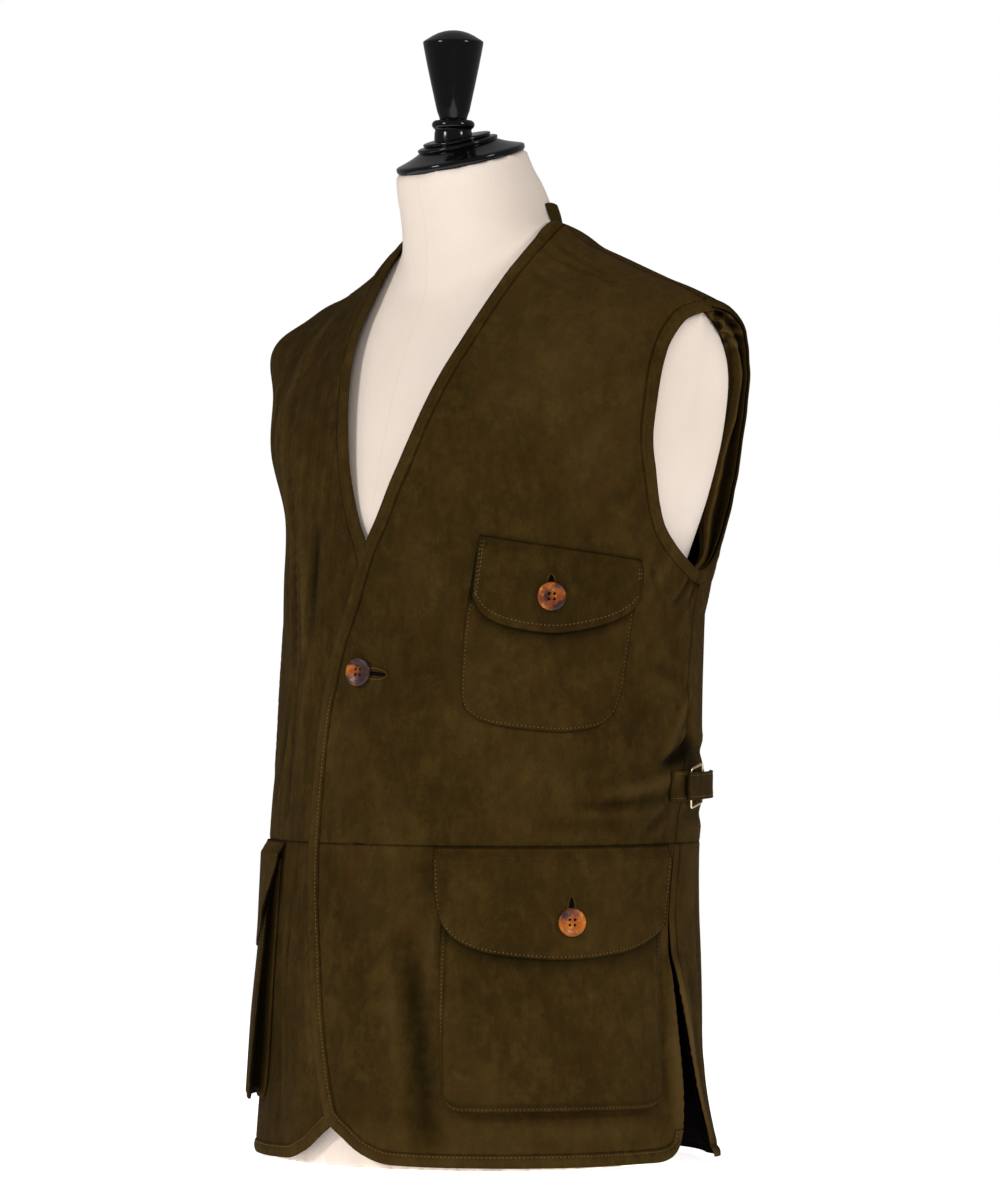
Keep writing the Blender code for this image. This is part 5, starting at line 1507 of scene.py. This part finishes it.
def horn_look():
    """Tortoiseshell plate: polished, amber going over into red-brown, with large near-black clouds in it."""
    look, tree, shader = new_look("tortoiseshell_plate", {"Roughness": 0.34, "Specular IOR Level": 0.22,
                                                          "Coat Weight": 0.05, "Coat Roughness": 0.2})
    place = added(tree, "TexCoord", {}, "Object")
    tone = tinted(tree, "A65A17", [(speckle(tree, place, *noise), 1.0, other) for *noise, other in (
        (60, 3, 0.55, 1, 0.42, 0.58, "7A3814"), (200, 2, 0.5, 1, 0.56, 0.70, "BF7A2A"),
        (44, 4, 0.62, 1.2, 0.45, 0.55, "33201E"))])
    put(tree, shader, {"Base Color": tone})
    return look


# Waxed linen thread: brown, a shade lighter than the suede, with a dull shine.
thread = new_look("waxed_brown_thread", {"Base Color": "6E5833", "Roughness": 0.7,
                                         "Specular IOR Level": 0.2})[0]
horn = horn_look()
for name, side, angle, height, under, lift, leaned in zip(*BUTTONS.values()):
    place = facing(side * angle, height, under + BUTTON_GAP + lift)
    place = place @ Matrix.Rotation(math.radians(leaned), 4, "Y")
    made = keep(turned(BUTTON_PROFILE, BUTTON_STEPS, place), "turned_" + name, horn)
    holes = [moved(place, right, up, HOLE_MIDDLE) for right in (-HOLE_SPACING, HOLE_SPACING)
             for up in (-HOLE_SPACING, HOLE_SPACING)]
    worked(made, HOLE_RADIUS, HOLE_LENGTH, HOLE_STEPS, holes, "DIFFERENCE", horn)
    made.data.set_sharp_from_angle(angle=SHARP)
    belong(made, "horn", name)
    shank = pins(SHANK_RADIUS, SHANK_LENGTH, SHANK_STEPS, [moved(place, out=SHANK_MIDDLE)])
    belong(keep(shank, "thread_" + name, thread), "suede")

# Side straps: at each side of the waist a short tab on the front holds a slide of pale gold wire, and the
# strap from the back runs through it and is folded back on itself.
STRAP_LOW = 291.0
STRAP_HIGH = 315.0
TAB_ANGLES = (98.5, 108.9)
STRAP_ANGLES = (109.6, 128.0)
END_ANGLES = (104.2, 129.0)
BUCKLE_ANGLE = 110.9
BUCKLE_HALF_WIDE = 3.6
BUCKLE_HALF_TALL = 15.5
BUCKLE_TURN = math.radians(10)
WIRE_RADIUS = 1.0
BUCKLE_OUT = ON_PANEL + TRIM_WALL + 0.5 + WIRE_RADIUS
END_OUT = BUCKLE_OUT + WIRE_RADIUS + 0.5
END_LIFT = 4.0
END_RISE = (114, 129)
STRAP_COLUMNS = 61
STRAP_ROWS = 41
STRAP_LINES = (24, 12)
STRAP_MIDDLE = (STRAP_LOW + STRAP_HIGH) / 2
BUCKLE_CORNER = 0.7
STRAPS = {
    "piece":    ("tab_side_", "strap_side_", "strap_folded_"),
    "node":     ("side_tab_", "strap_", "strap_end_"),
    "angles":   (TAB_ANGLES, STRAP_ANGLES, END_ANGLES),
    "narrower": (0.0, 0.0, 1.0),
    "out":      (ON_PANEL, ON_PANEL, END_OUT),
    "lift":     (0.0, 0.0, END_LIFT),
    "dark":     (0.12, 0.12, 0.30),
    "thread":   ("stitches_tab_", "", "stitches_strap_"),
    "edges":    (("low", "high"), (), ("low", "high", "right")),
}


def strap_grid(angles, narrower):
    across = np.linspace(*angles, STRAP_COLUMNS)
    up = np.linspace(STRAP_LOW + narrower, STRAP_HIGH - narrower, STRAP_ROWS)
    return crowd_both(np.stack(np.meshgrid(across, up), -1), *STRAP_LINES)


def wire_look():
    """Pale gold wire: drawn brass under a light plating, soft highlights along it."""
    look, tree, shader = new_look("pale_gold_wire", {"Base Color": "DCCBA6", "Metallic": 1.0})
    drawn = speckle(tree, added(tree, "TexCoord", {}, "Object"), 500, 2)
    put(tree, shader, {"Roughness": added(tree, "MapRange", {"Value": drawn, "To Min": 0.18, "To Max": 0.34})})
    return look


def closed_wire(name, points, radius, sides, look):
    """A closed round wire or roll through points in metres."""
    wire = bpy.data.curves.new(name, "CURVE")
    wire.dimensions = "3D"
    wire.bevel_depth = radius * MM
    wire.bevel_resolution = sides
    spline = wire.splines.new("POLY")
    spline.points.add(len(points) - 1)
    for point, at in zip(spline.points, points):
        point.co = (*at, 1)
    spline.use_cyclic_u = True
    wire.materials.append(look)
    return shown(name, wire)


def buckle(side, word):
    """A wire bent to a rectangle with small round corners, hanging a little out of true."""
    points = []
    for start, right, up in ((180, -1, -1), (270, 1, -1), (0, 1, 1), (90, -1, 1)):
        for turn in np.radians(np.arange(start, start + 91, 10)):
            across = right * (BUCKLE_HALF_WIDE - BUCKLE_CORNER) + BUCKLE_CORNER * math.cos(turn)
            above = up * (BUCKLE_HALF_TALL - 3 * BUCKLE_CORNER) + 3 * BUCKLE_CORNER * math.sin(turn)
            angle = BUCKLE_ANGLE + across - math.sin(BUCKLE_TURN) * above / DEGREE
            height = STRAP_MIDDLE + above + math.sin(BUCKLE_TURN) * across * DEGREE
            points.append(skin(side * angle, height, BUCKLE_OUT) * MM)
    belong(closed_wire("wire_buckle_" + word, points, WIRE_RADIUS, 4, gold), "wire", "buckle_" + word)


gold = wire_look()
strap_sewing = []
for side, word in SIDES:
    for piece, node, angles, narrower, out, lift, dark, row, edges in zip(*STRAPS.values()):
        grid = strap_grid(angles, narrower)
        run = runs(grid)
        out = (out + seam_dip(run, ALL_EDGES, 0.3, 0.1) - 0.3 * beside(run, ("low", "high"), 0.6, STITCH_IN)
               + lift * soft(grid[..., 0], *END_RISE))
        # Painted shade along each strap's left edge; every piece is also a little darker all over, the folded
        # end most.
        cloth_piece(piece + word, node + word, side, grid, out, "laid",
                    "panel_front_" + word if piece == "tab_side_" else "panel_back",
                    edge_shade_and_highlight(run, ["left"], 1.6, 0.5) + dark, wall=TRIM_WALL)
        if row:
            strap_sewing.append((row + word, side, (grid, out), edges))
    buckle(side, word)

# Stitching: rows of waxed linen thread along the pockets, flaps, straps and the front bands below the button.
# The real stitches are finer; they are drawn a little coarser here so that they show.
STITCH_PITCH = 3.3
STITCH_LONG = 0.80
STITCH_WIDE = 0.36
STITCH_HIGH = 0.30
STITCH_SUNK = 0.02
STITCH_SIDES = 6
STITCH_RINGS = 4
CHEST_SEWN_TO = 450
LOW_SEWN_TO = 196
FLAP_SEWN_FROM = 468
LINE_ENDS = 5
SEWN_EDGES = ("left", "low", "right")
SECOND_ROW = 4.4
BAND_ROW = int(np.argmin(abs(BAND_LINES - 0.8)))
BAND_ROW_TOP = 375


def sew(name, side, rows):
    """One object with a row of stitches on each line of (angle, height) points, this far off the cloth."""
    stitches = bmesh.new()
    shape = Matrix.Diagonal((STITCH_WIDE, STITCH_HIGH, STITCH_LONG, 1))
    for line, out in rows:
        angle, height = side * line[:, 0], line[:, 1]
        place = skin(angle, height, out - STITCH_SUNK)
        run = lengths(place)
        count = max(1, int(run[-1] / STITCH_PITCH))
        middles = (np.arange(count) + 0.5) * run[-1] / count
        upright = normals(cloth, angle, height)
        for at, start, end, up in zip(*[
                np.stack([np.interp(middles + step, run, column) for column in values.T], -1)
                for step, values in ((0, place), (-STITCH_LONG, place), (STITCH_LONG, place), (0, upright))]):
            ahead = Vector(end - start).normalized()
            aside = Vector(up).cross(ahead).normalized()
            turn = Matrix((aside, ahead.cross(aside), ahead)).transposed().to_4x4()
            bmesh.ops.create_uvsphere(stitches, u_segments=STITCH_SIDES, v_segments=STITCH_RINGS, radius=MM,
                                      matrix=Matrix.Translation(Vector(at) * MM) @ turn @ shape)
    belong(keep(stitches, name, thread), "suede")


def inside(piece, edge, distance=STITCH_IN, low=0.0, high=RIDGE_TOP):
    """Line of a piece this far inside an edge, between two heights, with how far it is off the cloth."""
    grid, out = piece
    run = runs(grid)[edge]
    values = np.concatenate([grid, np.broadcast_to(out, grid.shape[:2])[..., None]], 2)
    if edge in ("low", "high"):
        run, values = run.T, values.transpose(1, 0, 2)
    if edge in ("right", "high"):
        run, values = run[:, ::-1], values[:, ::-1]
    line = np.array([[np.interp(distance, one, column) for column in value.T]
                     for one, value in zip(run, values)])
    line = line[LINE_ENDS:-LINE_ENDS]
    line = line[(line[:, 1] > low) & (line[:, 1] < high)]
    return line[:, :2], line[:, 2] + TRIM_WALL


sew("stitches_chest_pocket", 1, [inside(chest, edge, high=CHEST_SEWN_TO) for edge in SEWN_EDGES])
sew("stitches_chest_flap", 1, [
    inside(chest_flap, "left"), inside(chest_flap, "left", SECOND_ROW),
    inside(chest_flap, "low", CHEST_FLAP_ROW), inside(chest_flap, "right", low=FLAP_SEWN_FROM),
    inside(chest_flap, "right", SECOND_ROW, low=FLAP_SEWN_FROM)])
for side, word, pocket, flap in low_pockets:
    sew("stitches_low_" + word, side, [inside(pocket, edge, high=LOW_SEWN_TO) for edge in SEWN_EDGES])
    sew("stitches_flap_" + word, side,
        [inside(flap, edge) for edge in SEWN_EDGES] + [inside(flap, "high", FLAP_ROW)])
for name, side, piece, edges in strap_sewing:
    sew(name, side, [inside(piece, edge) for edge in edges])
for side, word in SIDES:
    line = band_grids[side][BAND_ROW]
    out = lap(side, line[:, 0]) + crowned(band_grids[side], BAND_CROWN)[BAND_ROW] + WALL
    start = int(np.argmax(line[:, 1] < BAND_ROW_TOP))
    sew("stitches_band_" + word, side, [(line[start:], out[start:])])

# Buttonholes and the waist slit: a cut in the suede between two narrow rolled lips, painted shade inside it as a
# near-black lens, and the short slit that is left open in the waist seam beside the front band.
FLAP_HOLE_OUT = flap_out(50.0, 207) + TRIM_WALL + 0.7
HOLES = {
    "name":   ("buttonhole_front", "buttonhole_chest", "buttonhole_left", "buttonhole_right", "slit_waist"),
    "side":   (1, 1, 1, -1, 1),
    "angle":  (7.4, 57.9, 69.4, 69.4, 6.6),
    "height": (393.0, 462.6, 207.3, 207.3, 257.2),
    "out":    (LAP_LIFT + WALL + 0.2, ON_PANEL + FLAP_CLEAR + CHEST_PUFF + TRIM_WALL + 0.5,
               FLAP_HOLE_OUT, FLAP_HOLE_OUT, LAP_LIFT + WALL + 0.1),
    "long":   (27.0, 22.0, 23.0, 23.0, 22.0),
    "open":   (9.0, 8.0, 6.6, 6.6, 1.7),
    "dark":   (0.15, 0.25, 0.27, 0.27, 0.50),
    "turn":   (-4.0, 90.0, 90.0, 90.0, 0.0),
    "lip":    (0.75, 0.65, 0.65, 0.65, 0.15),
}
LIP_STEPS = 40


def buttonhole(name, side, angle, height, out, long, open_by, dark, turn, lip):
    """Two rolled lips that part round a slit, with a near-black lens in it as painted shade."""
    place = facing(side * angle, height, out) @ Matrix.Rotation(math.radians(side * turn), 4, "Z")
    half = long / 2
    points = []
    for at in np.linspace(0, math.tau, LIP_STEPS, endpoint=False):
        up = open_by / 2 * math.sin(at) * abs(math.sin(at)) ** 0.4
        points.append(place @ (Vector((half * math.cos(at), up, 0.2)) * MM))
    belong(closed_wire(name, points, lip, 3, lit_lips_look), "suede")
    # A near-black lens in the lining's look stands in for the shade inside the cut.
    cut = bmesh.new()
    bmesh.ops.create_uvsphere(cut, u_segments=24, v_segments=10, radius=MM, matrix=place @ Matrix.Diagonal(
        (half * 0.96, open_by * dark + 0.2, 0.5, 1)))
    belong(keep(cut, name + "_inside", lining), "lining")


# Paler copy of the suede for the rolled lips, partly rubbing and partly a painted highlight.
lit_lips_look = suede_look("rubbed_and_lit_lip_suede",
                       ("40300F", "52401D", "33270D", "47300F", "1C1506", "6E5830", "5A4824"), 0.5)
for hole in zip(*HOLES.values()):
    buttonhole(*hole)

# Studio: a pale paper floor under an even white surround, two soft boxes wide of the camera and one above it.
FLOOR_HALF = 1.5
FLOOR_GLOW = 0.85
SURROUND_LIGHT = 0.26
AIM = (0.0245, 0.0236, 0.4515)
CAMERA_TURN = 44
CAMERA_AWAY = 6.5
CAMERA_HEIGHT = 0.492
LENS = 288.9
LAMPS = {
    "name":  ("left_box", "right_box", "front_box"),
    "turn":  (-8, 96, 44),
    "away":  (3.3, 3.3, 4.2),
    "high":  (1.9, 1.9, 2.7),
    "size":  (0.8, 0.8, 2.2),
    "power": (54, 39, 41),
}
LAMP_AIM = (0, 0, 0.5)
FLOOR_UNDER = 0.0004
WHITE = "FFFFFF"


def toward(turn, away, high):
    """Place at a turn round the part from its front, in degrees, at a distance and a height in metres."""
    return (math.sin(math.radians(turn)) * away, -math.cos(math.radians(turn)) * away, high)


def aimed(name, data, place, target):
    """A lamp or camera at a place, turned to its target."""
    holder = shown(name, data)
    holder.location = place
    holder.rotation_euler = (Vector(target) - holder.location).to_track_quat("-Z", "Y").to_euler()
    return holder


# White paper: plain and matt, lit a little from below so that it stays white.
paper = new_look("white_paper", {"Base Color": "F4F4F4", "Roughness": 0.95, "Specular IOR Level": 0.05,
                                 "Emission Strength": FLOOR_GLOW, "Emission Color": WHITE})[0]
floor = bmesh.new()
bmesh.ops.create_grid(floor, x_segments=1, y_segments=1, size=FLOOR_HALF,
                      matrix=Matrix.Translation((0, 0, -FLOOR_UNDER)))
keep(floor, "paper_floor", paper)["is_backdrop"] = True

world = bpy.data.worlds.new("studio")
world.use_nodes = True
tree = world.node_tree
rays = added(tree, "LightPath", {}, "Is Camera Ray")
strength = added(tree, "MapRange", {"Value": rays, "To Min": SURROUND_LIGHT, "To Max": 1.0})
put(tree, tree.nodes["Background"], {"Color": WHITE, "Strength": strength})
bpy.context.scene.world = world
for name, turn, away, high, size, power in zip(*LAMPS.values()):
    light = bpy.data.lights.new(name, "AREA")
    light.shape = "DISK"
    light.size = size
    light.energy = power
    aimed(name, light, toward(turn, away, high), LAMP_AIM).visible_glossy = name != "front_box"

eye = bpy.data.cameras.new("camera")
eye.sensor_width = 36.0
eye.sensor_fit = "HORIZONTAL"
eye.lens = LENS
eye.clip_end = 60.0
bpy.context.scene.camera = aimed("camera", eye, toward(CAMERA_TURN, CAMERA_AWAY, CAMERA_HEIGHT), AIM)
bpy.context.scene.view_settings.view_transform = "Standard"

low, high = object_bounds()
